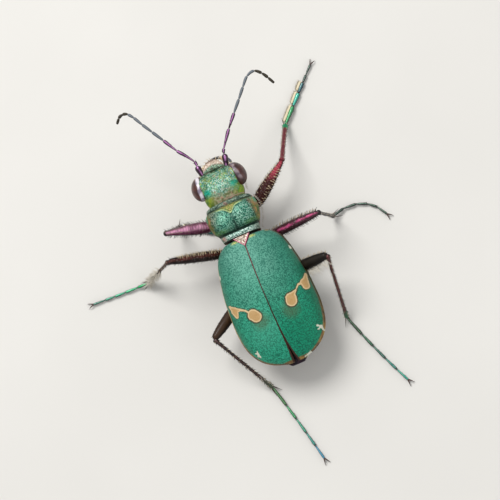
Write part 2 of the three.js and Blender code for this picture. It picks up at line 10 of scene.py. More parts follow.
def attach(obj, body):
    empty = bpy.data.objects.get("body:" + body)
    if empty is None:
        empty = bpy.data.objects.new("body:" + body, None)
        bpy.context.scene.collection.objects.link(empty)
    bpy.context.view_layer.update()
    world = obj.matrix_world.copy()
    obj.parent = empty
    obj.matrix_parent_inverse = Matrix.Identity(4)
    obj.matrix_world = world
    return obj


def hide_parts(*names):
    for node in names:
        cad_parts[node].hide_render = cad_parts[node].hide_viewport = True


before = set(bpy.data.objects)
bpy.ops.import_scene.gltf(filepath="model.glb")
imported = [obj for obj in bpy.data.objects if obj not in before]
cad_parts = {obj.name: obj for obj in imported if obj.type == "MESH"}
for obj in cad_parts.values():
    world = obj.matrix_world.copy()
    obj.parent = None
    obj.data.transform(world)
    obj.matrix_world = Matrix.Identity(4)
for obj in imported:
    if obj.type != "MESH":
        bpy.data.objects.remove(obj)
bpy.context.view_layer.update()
scene = bpy.context.scene
mm = 0.001
sides = {"left": 1, "right": -1}

# Stance of the body over its feet, in millimetres and degrees
stance = {
    "lift": 3.0,
    "pitch": 4.0,
    "roll": 2.5,
    "middle": (0.84, 2.08),     # from the stance's middle to the middle of the outline
}
pitchTurn = Matrix.Rotation(math.radians(-stance["pitch"]), 3, "X")
rollTurn = Matrix.Rotation(math.radians(stance["roll"]), 3, "Y")
bodyTurn = pitchTurn @ rollTurn
bodyPlace = Vector((-stance["middle"][0], -stance["middle"][1], stance["lift"]))


def fromBody(points):       # body millimetres to frame millimetres
    return np.asarray(points, float) @ np.array(bodyTurn).T + np.array(bodyPlace)


def paint(code):            # colour picked as a screen hex code
    levels = [int(code[i:i + 2], 16) / 255 for i in (1, 3, 5)]
    linear = [v / 12.92 if v <= 0.04045 else ((v + 0.055) / 1.055) ** 2.4 for v in levels]
    return (*linear, 1.0)


# Smooth value through a few (place, value) stations
def profile(stations):
    places, values = np.array(stations, float).T
    last = len(places) - 1
    before = np.maximum(np.arange(last + 1) - 1, 0)
    after = np.minimum(np.arange(last + 1) + 1, last)
    slopes = (values[after] - values[before]) / (places[after] - places[before])

    def at(place):
        place = np.clip(place, places[0], places[last])
        i = np.clip(np.searchsorted(places, place) - 1, 0, last - 1)
        span = places[i + 1] - places[i]
        t = (place - places[i]) / span
        blend = t * t * (3 - 2 * t)
        bend = t * (1 - t) * span * ((1 - t) * slopes[i] - t * slopes[i + 1])
        return values[i] + (values[i + 1] - values[i]) * blend + bend

    return at


def softPower(value, power):
    return np.sign(value) * np.abs(value) ** power


def bell(value, width):     # 1 at nought, fading over the width
    return np.exp(-(value / width) ** 2)


def ease(value, low, high):
    t = np.clip((value - low) / (high - low), 0, 1)
    return t * t * (3 - 2 * t)


# Rises and hollows: height, then place and width across, on both sides of nought, and along
def humps(across, along, rows):
    return sum(
        height * bell(abs(across) - place, width) * bell(along - run, length)
        for height, place, width, run, length in rows
    )


# Node trees

class Wire:                 # a node's output, so that maths on it reads as an expression
    def __init__(self, bench, socket):
        self.bench = bench
        self.socket = socket

    def maths(self, operation, *others, flipped=False):
        values = [*others, self] if flipped else [self, *others]
        return self.bench.node("ShaderNodeMath", {"operation": operation}, dict(enumerate(values)))

    def __add__(self, other):
        return self.maths("ADD", other)

    def __sub__(self, other):
        return self.maths("SUBTRACT", other)

    def __rsub__(self, other):
        return self.maths("SUBTRACT", other, flipped=True)

    def __mul__(self, other):
        return self.maths("MULTIPLY", other)

    def __truediv__(self, other):
        return self.maths("DIVIDE", other)

    def __rtruediv__(self, other):
        return self.maths("DIVIDE", other, flipped=True)

    def __or__(self, other):            # the greater of two masks
        return self.maths("MAXIMUM", other)

    def __abs__(self):
        return self.maths("ABSOLUTE")

    def step(self, low, high):          # 0 below low, 1 above high
        settings = {"interpolation_type": "SMOOTHSTEP"}
        return self.bench.node("ShaderNodeMapRange", settings, {0: self, 1: low, 2: high})

    def fall(self, low, high):          # 1 below low, 0 above high
        return 1 - self.step(low, high)

    def line(self, centre, width):      # 1 where the value is near the centre
        return abs(self - centre).fall(width * 0.4, width)

    def ramp(self, *stops):
        return self.bench.node("ShaderNodeValToRGB", {"stops": stops}, {0: self})

    def mix(self, under, over):         # two colours, this much of the second
        return self.bench.mix(self, under, over)

    def vector(self, operation, *others, output="Vector"):
        sockets = dict(enumerate([self, *others]))
        return self.bench.node("ShaderNodeVectorMath", {"operation": operation}, sockets, output)

    def near(self, centre, radius):     # 1 at the centre, 0 past the radius
        distance = self.vector("DISTANCE", centre, output="Value")
        return distance.fall(radius * 0.25, radius)

    def noise(self, grain, detail=2.0, roughness=0.5):      # grain in metres
        sockets = {"Vector": self, "Scale": 1 / grain, "Detail": detail, "Roughness": roughness}
        return self.bench.node("ShaderNodeTexNoise", None, sockets)

    def cells(self, grain):
        return self.bench.node("ShaderNodeTexVoronoi", None, {"Vector": self, "Scale": 1 / grain})

    def bump(self, depth):              # depth in metres
        sockets = {"Height": self, "Distance": depth, "Strength": 1.0}
        return self.bench.node("ShaderNodeBump", None, sockets)

    def split(self):
        made = self.bench.node("ShaderNodeSeparateXYZ", None, {0: self})
        return [made, made.beside("Y"), made.beside("Z")]

    def beside(self, name):             # another output of the same node
        return Wire(self.bench, self.socket.node.outputs[name])

    __radd__ = __add__
    __rmul__ = __mul__


class Bench:                # a node tree to build on
    def __init__(self, tree, material=None):
        self.tree = tree
        self.material = material

    def node(self, kind, settings=None, sockets=None, output=0):
        made = self.tree.nodes.new(kind)
        for key, value in (settings or {}).items():
            if key == "stops":
                self.setStops(made.color_ramp, value)
            else:
                setattr(made, key, value)
        for key, value in (sockets or {}).items():
            if isinstance(value, Wire):
                self.tree.links.new(value.socket, made.inputs[key])
            else:
                made.inputs[key].default_value = value
        return Wire(self, made.outputs[output] if len(made.outputs) else None)

    def setStops(self, ramp, stops):
        while len(ramp.elements) < len(stops):
            ramp.elements.new(1.0)
        for element, (place, colour) in zip(ramp.elements, stops):
            element.position = place
            element.color = paint(colour)

    def mix(self, mask, under, over):       # colours
        settings = {"data_type": "RGBA"}
        under, over = [paint(c) if isinstance(c, str) else c for c in (under, over)]
        return self.node("ShaderNodeMix", settings, {0: mask, 6: under, 7: over}, 2)

    def layers(self, colour, *covers):      # colours laid over one another, each by its own mask
        for mask, over in covers:
            colour = self.mix(mask, colour, over)
        return colour

    def join(self, x=0.0, y=0.0, z=0.0):
        return self.node("ShaderNodeCombineXYZ", None, {0: x, 1: y, 2: z})

    def field(self, name, kind="FLOAT"):    # an attribute, inside a geometry tree
        return self.node("GeometryNodeInputNamedAttribute", {"data_type": kind}, {"Name": name})

    def scaled(self, vector, share):
        return self.node("ShaderNodeVectorMath", {"operation": "SCALE"}, {0: vector, "Scale": share})

    # Distance outside a drop between two points, each with its own radius
    def outsideDrop(self, place, start, startRadius, end, endRadius):
        start, end = Vector(start), Vector(end)
        span = end - start
        along = place.vector("DOT_PRODUCT", span, output="Value")
        share = (along - start.dot(span)) / span.length_squared
        share = self.node("ShaderNodeClamp", None, {0: share})
        onLine = self.scaled(span, share).vector("ADD", start)
        distance = place.vector("DISTANCE", onLine, output="Value")
        return distance - startRadius - share * (endRadius - startRadius)

    def attribute(self, name):
        return self.node("ShaderNodeAttribute", {"attribute_name": name}, output="Fac")

    def here(self):
        return self.node("ShaderNodeTexCoord", output="Object")

    def onBody(self):       # place on the beetle in its own millimetres
        sockets = {
            "Vector": self.here(), "Location": bodyPlace * mm,
            "Rotation": bodyTurn.to_euler("XYZ"), "Scale": (mm, mm, mm),
        }
        return self.node("ShaderNodeMapping", {"vector_type": "TEXTURE"}, sockets)


def newFinish(name):
    material = bpy.data.materials.new(name)
    material.use_nodes = True
    material.node_tree.nodes.clear()
    return Bench(material.node_tree, material)


def finishWith(bench, sockets):
    shader = bench.node("ShaderNodeBsdfPrincipled", None, sockets)
    bench.node("ShaderNodeOutputMaterial", None, {"Surface": shader})
    return bench.material


# Geometry trees: inputs are {label: starting value}, all with a material besides
def newTree(name, inputs):
    tree = bpy.data.node_groups.new(name, "GeometryNodeTree")
    tree.interface.new_socket("Geometry", in_out="INPUT", socket_type="NodeSocketGeometry")
    for label, value in inputs.items():
        kind = "NodeSocketInt" if isinstance(value, int) else "NodeSocketFloat"
        tree.interface.new_socket(label, in_out="INPUT", socket_type=kind).default_value = value
    tree.interface.new_socket("Material", in_out="INPUT", socket_type="NodeSocketMaterial")
    tree.interface.new_socket("Geometry", in_out="OUTPUT", socket_type="NodeSocketGeometry")
    bench = Bench(tree)
    group = tree.nodes.new("NodeGroupInput")
    return tree, bench, {socket.name: Wire(bench, socket) for socket in group.outputs if socket.name}


def endTree(bench, geometry, material):
    real = bench.node("GeometryNodeRealizeInstances", None, {"Geometry": geometry})
    smooth = bench.node("GeometryNodeSetShadeSmooth", None, {"Geometry": real})
    finished = bench.node("GeometryNodeSetMaterial", None, {"Geometry": smooth, "Material": material})
    bench.node("NodeGroupOutput", None, {0: finished})


def runTree(piece, tree, values):       # runs a tree on a piece and keeps the plain mesh
    modifier = piece.modifiers.new(tree.name, "NODES")
    modifier.node_group = tree
    for item in tree.interface.items_tree:
        if item.in_out == "INPUT" and item.name in values:
            modifier[item.identifier] = values[item.name]
    depsgraph = bpy.context.evaluated_depsgraph_get()
    seen = piece.evaluated_get(depsgraph)
    made = bpy.data.meshes.new_from_object(seen, preserve_all_data_layers=True, depsgraph=depsgraph)
    piece.modifiers.remove(modifier)
    rough = piece.data
    piece.data = made
    bpy.data.meshes.remove(rough)
    return piece


# Meshes from points in frame millimetres

def faceOutwards(mesh):
    shell = bmesh.new()
    shell.from_mesh(mesh)
    bmesh.ops.recalc_face_normals(shell, faces=shell.faces)
    shell.to_mesh(mesh)
    shell.free()


def newPiece(name, points, faces, material=None, attributes=None, edges=()):
    mesh = bpy.data.meshes.new(name)
    mesh.from_pydata((np.asarray(points, float) * mm).tolist(), list(edges), faces)
    if material:
        mesh.materials.append(material)
    if len(faces):
        faceOutwards(mesh)
        mesh.shade_smooth()
    for key, values in (attributes or {}).items():
        values = np.asarray(values, float)
        kind = "FLOAT" if values.ndim == 1 else "FLOAT_VECTOR"
        slot = "value" if values.ndim == 1 else "vector"
        mesh.attributes.new(key, kind, "POINT").data.foreach_set(slot, values.ravel())
    piece = bpy.data.objects.new(name, mesh)
    scene.collection.objects.link(piece)
    return piece


def gridFaces(rows, columns, wrapped=False, start=0):
    here = np.arange(rows * columns).reshape(rows, columns) + start
    if wrapped:
        here = np.hstack([here, here[:, :1]])
    corners = [here[:-1, :-1], here[:-1, 1:], here[1:, 1:], here[1:, :-1]]
    return np.stack(corners, -1).reshape(-1, 4).tolist()


def loftFaces(rows, columns, start=0):      # closed skin over rings, flat at its ends
    faces = gridFaces(rows, columns, True, start)
    first = list(range(start, start + columns))
    last = [corner + (rows - 1) * columns for corner in first]
    return [*faces, first[::-1], last]


def platePoints(outer, inner):
    return np.concatenate([outer.reshape(-1, 3), inner.reshape(-1, 3)])


def plateFaces(rows, columns):              # closed plate between an outer and an inner grid
    under = rows * columns
    faces = gridFaces(rows, columns)
    faces += [[under + corner for corner in face[::-1]] for face in faces]
    grid = np.arange(rows * columns).reshape(rows, columns)
    rim = [*grid[0, :-1], *grid[:-1, -1], *grid[-1, :0:-1], *grid[:0:-1, 0]]
    rim = [int(corner) for corner in rim]
    for a, b in zip(rim, rim[1:] + rim[:1]):
        faces.append([a, b, under + b, under + a])
    return faces


def distancesAlong(route):                  # from the first point of a route to each of its points
    return np.concatenate([[0], np.cumsum(np.linalg.norm(np.diff(route, axis=0), axis=1))])


def pointsAt(route, run, places):           # points at some of the distances
    return np.stack([np.interp(places, run, route[:, k]) for k in range(3)], -1)


def evenRing(ring, count):                  # points spread evenly along a closed ring
    closed = np.vstack([ring, ring[:1]])
    run = distancesAlong(closed)
    return pointsAt(closed, run, np.linspace(0, run[-1], count, endpoint=False))


def gridNormals(grid, wrapped=True):        # unit normals of a grid, away from its middle line
    along = np.gradient(grid, axis=0)
    if wrapped:
        around = np.roll(grid, -1, axis=1) - np.roll(grid, 1, axis=1)
    else:
        around = np.gradient(grid, axis=1)
    normal = np.cross(around, along)
    normal /= np.maximum(np.linalg.norm(normal, axis=-1, keepdims=True), 1e-9)
    outward = grid - grid.mean(axis=1, keepdims=True)
    return normal if (normal * outward).sum() > 0 else -normal


ringPoints = 720                # on a ring before they are spread evenly


# Ring of the trunk or head, with its own top, bottom and width
def section(y, halfWidth, top, bottom, squareness, count=ringPoints):
    angles = np.linspace(0, 2 * np.pi, ringPoints, endpoint=False)
    rise = np.sin(angles)
    middle = min(0, top - 0.02)
    x = halfWidth * softPower(np.cos(angles), squareness)
    z = middle + np.where(rise > 0, top - middle, middle - bottom) * softPower(rise, squareness)
    return evenRing(np.stack([x, np.full_like(x, y), z], -1), count)


curveSteps = 24                 # on each span of a curve


def curveThrough(points, steps=curveSteps):     # smooth curve through a few points
    points = np.array(points, float)
    ends = [2 * points[0] - points[1], *points, 2 * points[-1] - points[-2]]
    t = np.linspace(0, 1, steps, endpoint=False)[:, None]
    spans = []
    for a, b, c, d in zip(ends, ends[1:], ends[2:], ends[3:]):
        cubic = (3 * b - a - 3 * c + d) * t ** 3
        spans.append((2 * b + (c - a) * t + (2 * a - 5 * b + 4 * c - d) * t ** 2 + cubic) / 2)
    return np.vstack([*spans, points[-1:]])


def placeOnRoute(route, share):
    route = np.asarray(route, float)
    run = distancesAlong(route)
    return pointsAt(route, run, np.asarray(share) * run[-1])


def unit(vector):
    vector = np.asarray(vector, float)
    return vector / np.linalg.norm(vector)


def direction(azimuth, elevation=0.0):
    a, e = math.radians(azimuth), math.radians(elevation)
    return np.array([math.cos(a) * math.cos(e), math.sin(a) * math.cos(e), math.sin(e)])


# Tree: relief of the cuticle, pits and fine wrinkles, where the attribute "relief" allows it
def makeReliefTree():
    tree, bench, given = newTree("cuticleRelief", {
        "Pit spacing": 0.12 * mm, "Pit depth": 0.01 * mm,
        "Wrinkle length": 0.3 * mm, "Wrinkle depth": 0.005 * mm,
    })
    place = bench.node("GeometryNodeInputPosition")
    pit = place.cells(given["Pit spacing"]).fall(0.08, 0.5)
    wrinkle = place.noise(given["Wrinkle length"], 3.0) - 0.5
    height = wrinkle * 2 * given["Wrinkle depth"] - pit * given["Pit depth"]
    offset = bench.scaled(bench.node("GeometryNodeInputNormal"), height * bench.field("relief"))
    moved = bench.node("GeometryNodeSetPosition", None, {"Geometry": given["Geometry"], "Offset": offset})
    endTree(bench, moved, given["Material"])
    return tree


# Tree: round limbs that follow lines of points with the attribute "girth", in metres
def makeLimbTree():
    tree, bench, given = newTree("limbAlongRoute", {"Sides": 16})
    route = bench.node("GeometryNodeMeshToCurve", None, {"Mesh": given["Geometry"]})
    sockets = {"Resolution": given["Sides"], "Radius": 1.0}
    ring = bench.node("GeometryNodeCurvePrimitiveCircle", None, sockets)
    sockets = {"Curve": route, "Profile Curve": ring, "Scale": bench.field("girth"), "Fill Caps": True}
    limb = bench.node("GeometryNodeCurveToMesh", None, sockets)
    endTree(bench, limb, given["Material"])
    return tree


# Tree: hairs and bristles on points with "lie", "sweep", "reach" and the root's place "cell"
def makeCoatTree():
    tree, bench, given = newTree("bristleCoat", {
        "Sides": 4, "Lengths": 3, "Slimness": 0.06, "Bend": 0.25, "Patch size": 0.003,
    })
    hair = bench.node("GeometryNodeMeshCone", None, {
        "Vertices": given["Sides"], "Side Segments": given["Lengths"],
        "Radius Top": given["Slimness"] * 0.15, "Radius Bottom": given["Slimness"], "Depth": 1.0,
    })
    onCorners = {"data_type": "FLOAT2", "domain": "CORNER"}
    sockets = {"Geometry": hair, "Name": "patch", "Value": hair.beside("UV Map")}
    hair = bench.node("GeometryNodeStoreNamedAttribute", onCorners, sockets)
    height = bench.node("GeometryNodeInputPosition").split()[2]
    bow = bench.join(x=height * height * given["Bend"])
    hair = bench.node("GeometryNodeSetPosition", None, {"Geometry": hair, "Offset": bow})
    axes = {"primary_axis": "Z", "secondary_axis": "X"}
    sockets = {0: bench.field("lie", "FLOAT_VECTOR"), 1: bench.field("sweep", "FLOAT_VECTOR")}
    turn = bench.node("FunctionNodeAxesToRotation", axes, sockets)
    coat = bench.node("GeometryNodeInstanceOnPoints", None, {
        "Points": given["Geometry"], "Instance": hair, "Rotation": turn, "Scale": bench.field("reach"),
    })
    coat = bench.node("GeometryNodeRealizeInstances", None, {"Geometry": coat})
    patch = bench.scaled(bench.field("patch", "FLOAT_VECTOR"), given["Patch size"])
    spread = bench.field("cell", "FLOAT_VECTOR").vector("ADD", patch)
    sockets = {"Geometry": coat, "Name": "OFBake", "Value": spread}
    coat = bench.node("GeometryNodeStoreNamedAttribute", onCorners, sockets)
    for name in ("patch", "lie", "sweep", "reach", "cell"):
        coat = bench.node("GeometryNodeRemoveAttribute", None, {"Geometry": coat, "Name": name})
    endTree(bench, coat, given["Material"])
    return tree


# Tree: lenses of an eye, one on each corner of a ball
def makeLensTree():
    tree, bench, given = newTree("eyeLenses", {"Lens rise": 0.004 * mm, "Lens top": 0.6})
    facets = bench.node("GeometryNodeDualMesh", None, {0: given["Geometry"]})
    raised = bench.node("GeometryNodeExtrudeMesh", {"mode": "FACES"}, {
        "Mesh": facets, "Offset Scale": given["Lens rise"], "Individual": True,
    })
    sockets = {"Geometry": raised, "Selection": raised.beside("Top"), "Scale": given["Lens top"]}
    lenses = bench.node("GeometryNodeScaleElements", {"domain": "FACE"}, sockets)
    endTree(bench, lenses, given["Material"])
    return tree


reliefTree = makeReliefTree()
limbTree = makeLimbTree()
coatTree = makeCoatTree()
lensTree = makeLensTree()
print("trees ready")

# Camera, floor and light

photoView = {
    "towardsTail": 12.0,            # degrees off straight above
    "towardsSide": -2.0,
    "turn": 23.0,                   # body's axis, to the left of the picture's upright
    "distance": 150.0,              # millimetres
    "aim": (-0.971, -1.115, 3.975),
    "pictureWidth": 30.3,           # millimetres across the picture at the aim
    "sensor": 36.0,
}


def makeCamera():
    tail, side, turn = [math.radians(photoView[k]) for k in ("towardsTail", "towardsSide", "turn")]
    back = Vector((math.tan(side), math.tan(tail), 1)).normalized()
    ahead = pitchTurn @ Vector((0, -1, 0))
    ahead = (ahead - back * ahead.dot(back)).normalized()
    across = ahead.cross(back)
    up = ahead * math.cos(turn) + across * math.sin(turn)
    right = across * math.cos(turn) - ahead * math.sin(turn)
    camera = bpy.data.objects.new("camera", bpy.data.cameras.new("camera"))
    place = (Vector(photoView["aim"]) + back * photoView["distance"]) * mm
    camera.matrix_world = Matrix.Translation(place) @ Matrix((right, up, back)).transposed().to_4x4()
    camera.data.sensor_width = photoView["sensor"]
    camera.data.lens = photoView["sensor"] * photoView["distance"] / photoView["pictureWidth"]
    camera.data.clip_start = 0.01
    camera.data.clip_end = 10
    scene.collection.objects.link(camera)
    scene.camera = camera
    return up, right


pictureUp, pictureRight = makeCamera()

studio = {
    "floorWidth": 3.0,              # metres
    "floorColours": ("#d3d0ca", "#d9d6d0"),
    "floorMottle": 0.02,
    "skyColour": "#f2f4f6",
    "skyStrength": 0.62,
    "key": {"from": (-0.75, 0.8, 1.3), "distance": 0.30, "size": 0.16, "power": 0.75},
    "fill": {"from": (1.2, -0.3, 0.9), "distance": 0.32, "size": 0.30, "power": 0.16},
}


def makeStudio():
    bench = newFinish("paleFloor")
    mottle = bench.here().noise(studio["floorMottle"], 3.0)
    colour = mottle.ramp(*zip((0.3, 0.7), studio["floorColours"]))
    material = finishWith(bench, {"Base Color": colour, "Roughness": 0.8})
    half = studio["floorWidth"] / 2 / mm
    corners = [(-half, -half, 0), (half, -half, 0), (half, half, 0), (-half, half, 0)]
    newPiece("floor", corners, [(0, 1, 2, 3)], material)
    world = bpy.data.worlds.new("softRoom")
    world.use_nodes = True
    sky = world.node_tree.nodes["Background"]
    sky.inputs["Color"].default_value = paint(studio["skyColour"])
    sky.inputs["Strength"].default_value = studio["skyStrength"]
    scene.world = world
    for name in ("key", "fill"):
        lamp = studio[name]
        right, up, high = lamp["from"]
        towards = (pictureRight * right + pictureUp * up + Vector((0, 0, high))).normalized()
        light = bpy.data.objects.new(name, bpy.data.lights.new(name, "AREA"))
        light.data.shape = "DISK"
        light.data.size = lamp["size"]
        light.data.energy = lamp["power"]
        turn = towards.to_track_quat("Z", "Y").to_matrix().to_4x4()
        light.matrix_world = Matrix.Translation(towards * lamp["distance"]) @ turn
        light.visible_camera = False
        scene.collection.objects.link(light)


makeStudio()
scene.view_settings.view_transform = "Standard"
print("camera and studio ready")


# A finished piece stands for its solids
def dress(piece, slot, *nodes):
    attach(piece, "root")
    if nodes:
        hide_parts(*nodes)
    return piece


# Limbs: each route is its points, girths and shares of the way along, in millimetres
def makeLimbs(name, routes, material, roundness=16):
    points, edges, girths, shares = [], [], [], []
    for route, girth, share in routes:
        first = len(points)
        points.extend(route)
        girths.extend(np.asarray(girth) * mm)
        shares.extend(share)
        edges.extend((i, i + 1) for i in range(first, first + len(route) - 1))
    piece = newPiece(name, points, [], None, {"girth": girths, "along": shares}, edges)
    runTree(piece, limbTree, {"Sides": roundness, "Material": material})
    faceOutwards(piece.data)

    # how far each corner lies to the crown of its limb, -1 to 1
    lookup = KDTree(len(points))
    for i, point in enumerate(points):
        lookup.insert(Vector(point) * mm, i)
    lookup.balance()
    crowns = []
    for corner in piece.data.vertices:
        middle, _, _ = lookup.find(corner.co)
        away = corner.co - middle
        crowns.append(away.z / max(away.length, 1e-6))
    piece.data.attributes.new("crown", "FLOAT", "POINT").data.foreach_set("value", crowns)
    return piece


def roundedEnds(share, length, radius):     # 1 along a limb, falling to nought over its ends
    near = np.minimum(share, 1 - share) * length
    inside = np.clip(near / radius, 0, 1)
    return np.sqrt(np.clip(1 - (1 - inside) ** 2, 0.0004, 1))


# Route through points with girths given by a profile, its ends rounded
def limbRoute(points, girth, steps=60, shareFrom=0.0, shareTo=1.0, ends=0.9):
    smooth = curveThrough(points)
    length = np.linalg.norm(np.diff(smooth, axis=0), axis=1).sum()
    share = 0.5 - 0.5 * np.cos(np.pi * np.linspace(0, 1, steps + 1))
    wide = girth(share)
    wide = wide * roundedEnds(share, length, np.maximum(wide * ends, 1e-4))
    return placeOnRoute(smooth, share), wide, shareFrom + (shareTo - shareFrom) * share


# Coats: hairs gathered with their roots, lies and places on an unwrap of the skin
class Coat:
    def __init__(self, name):
        self.name = name
        self.hairs = {"root": [], "lie": [], "sweep": [], "reach": [], "cell": []}

    def add(self, root, lie, sweep, reach, cell):
        for key, value in zip(self.hairs, (root, lie, sweep, reach * mm, (*cell, 0.0))):
            self.hairs[key].append(value)

    def grow(self, material, values):
        hairs = {key: value for key, value in self.hairs.items() if key != "root"}
        piece = newPiece(self.name, self.hairs["root"], [], None, hairs)
        runTree(piece, coatTree, {**values, "Material": material})
        return dress(piece, None)


islands = {"across": 6, "used": 0, "margin": 0.06}


# Each skin has its own square of the unwrap
def newIsland():
    column, row = islands["used"] % islands["across"], islands["used"] // islands["across"]
    islands["used"] += 1
    margin = islands["margin"]

    def cell(s, t):
        return [
            (column + margin + (1 - 2 * margin) * s) / islands["across"],
            (row + margin + (1 - 2 * margin) * t) / islands["across"],
        ]

    return cell


random = np.random.default_rng(11)
darkCoat = Coat("darkBristles")
paleCoat = Coat("paleBristles")
longCoat = Coat("longHairs")

# Wing cases

scutellum = {
    "width": 0.9,
    "length": 0.56,
    "top": 1.12,
    "depth": 0.3,
    "front": -0.2,              # share of the length, under the prothorax
    "tip": 0.012,
    "arch": 0.1,
    "rim": (0.03, 0.05),        # height and width
    "dish": 0.04,
    "rows": 40,
    "columns": 48,
}
elytra = {
    "length": 8.1,
    "halfWidth": profile([
        (0, 1.42), (0.035, 1.8), (0.09, 2.13), (0.17, 2.34), (0.36, 2.62), (0.5, 2.7),
        (0.65, 2.72), (0.78, 2.56), (0.86, 2.29), (0.93, 1.82), (0.975, 1.24), (1, 0.66),
    ]),
    "height": profile([
        (0, 0.98), (0.12, 1.34), (0.3, 1.66), (0.46, 1.75), (0.7, 1.6), (0.85, 1.18), (0.95, 0.7), (1, 0.36),
    ]),
    "roundness": 0.82,
    "sutureGap": 0.006,
    "opensAt": 0.85,
    "tipGap": 0.1,
    "tipReach": 0.008,      # of the length, past its last station
    "wall": 0.2,
    "frontRound": 0.1,
    "rows": 330,
    "columns": 124,
    "foldWidth": 0.45,      # of the edge folded under
    "beadWidth": 0.05,
    "beadHeight": profile([(0, 0.03), (0.3, 0.045), (0.8, 0.055), (1, 0.075)]),
    "seamWidth": 0.03,
    "seamHeight": 0.012,
    "humps": [(0.06, 50, 20, 0.085, 0.045), (-0.04, 27, 13, 0.12, 0.05), (-0.024, 74, 9, 0.62, 0.2)],
    "rimReach": 0.42,       # of the coppery colour along the margin and round the end
    "endReach": 0.2,
    "seamReach": profile([(0, 0.03), (0.7, 0.035), (0.9, 0.09), (1, 0.14)]),
    "frontReach": 0.16,
    "relief": (0.13, 0.006, 0.9, 0.01),     # pits' spacing and depth, wrinkles' length and depth
}
lean = {"share": 0.075, "about": 1.7}       # of body and wing cases to their right, below a height


def leaned(points):
    points = np.array(points, float)
    points[..., 0] -= lean["share"] * (lean["about"] - points[..., 2])
    return points


def roughened(piece, relief, material):
    labels = ("Pit spacing", "Pit depth", "Wrinkle length", "Wrinkle depth")
    values = {label: value * mm for label, value in zip(labels, relief)}
    return runTree(piece, reliefTree, {**values, "Material": material})


def elytronDome(u, theta):      # half of the dome, at a share of the length and an angle from the suture
    shape = elytra
    opening = np.clip((u - shape["opensAt"]) / (1 - shape["opensAt"]), 0, 1)
    suture = shape["sutureGap"] + shape["tipGap"] * opening ** 1.6
    beside = scutellum["width"] / 2 * (1 - u * shape["length"] / scutellum["length"]) + shape["sutureGap"]
    suture = np.maximum(suture, beside)
    past = np.clip((u - 1) / shape["tipReach"], 0, 1)
    closing = np.sqrt(1 - 0.97 * past ** 2)
    x = suture + (shape["halfWidth"](u) - suture) * closing * np.sin(theta)
    z = shape["height"](u) * (0.6 + 0.4 * closing) * np.cos(theta) ** shape["roundness"]
    return np.stack(np.broadcast_arrays(x, shape["length"] * u, z), -1), suture


def evenShares(route, low, high, count):    # values spread evenly along a route of points
    run = distancesAlong(route)
    values = np.linspace(low, high, len(route))
    return np.interp(np.linspace(0, run[-1], count), run, values)


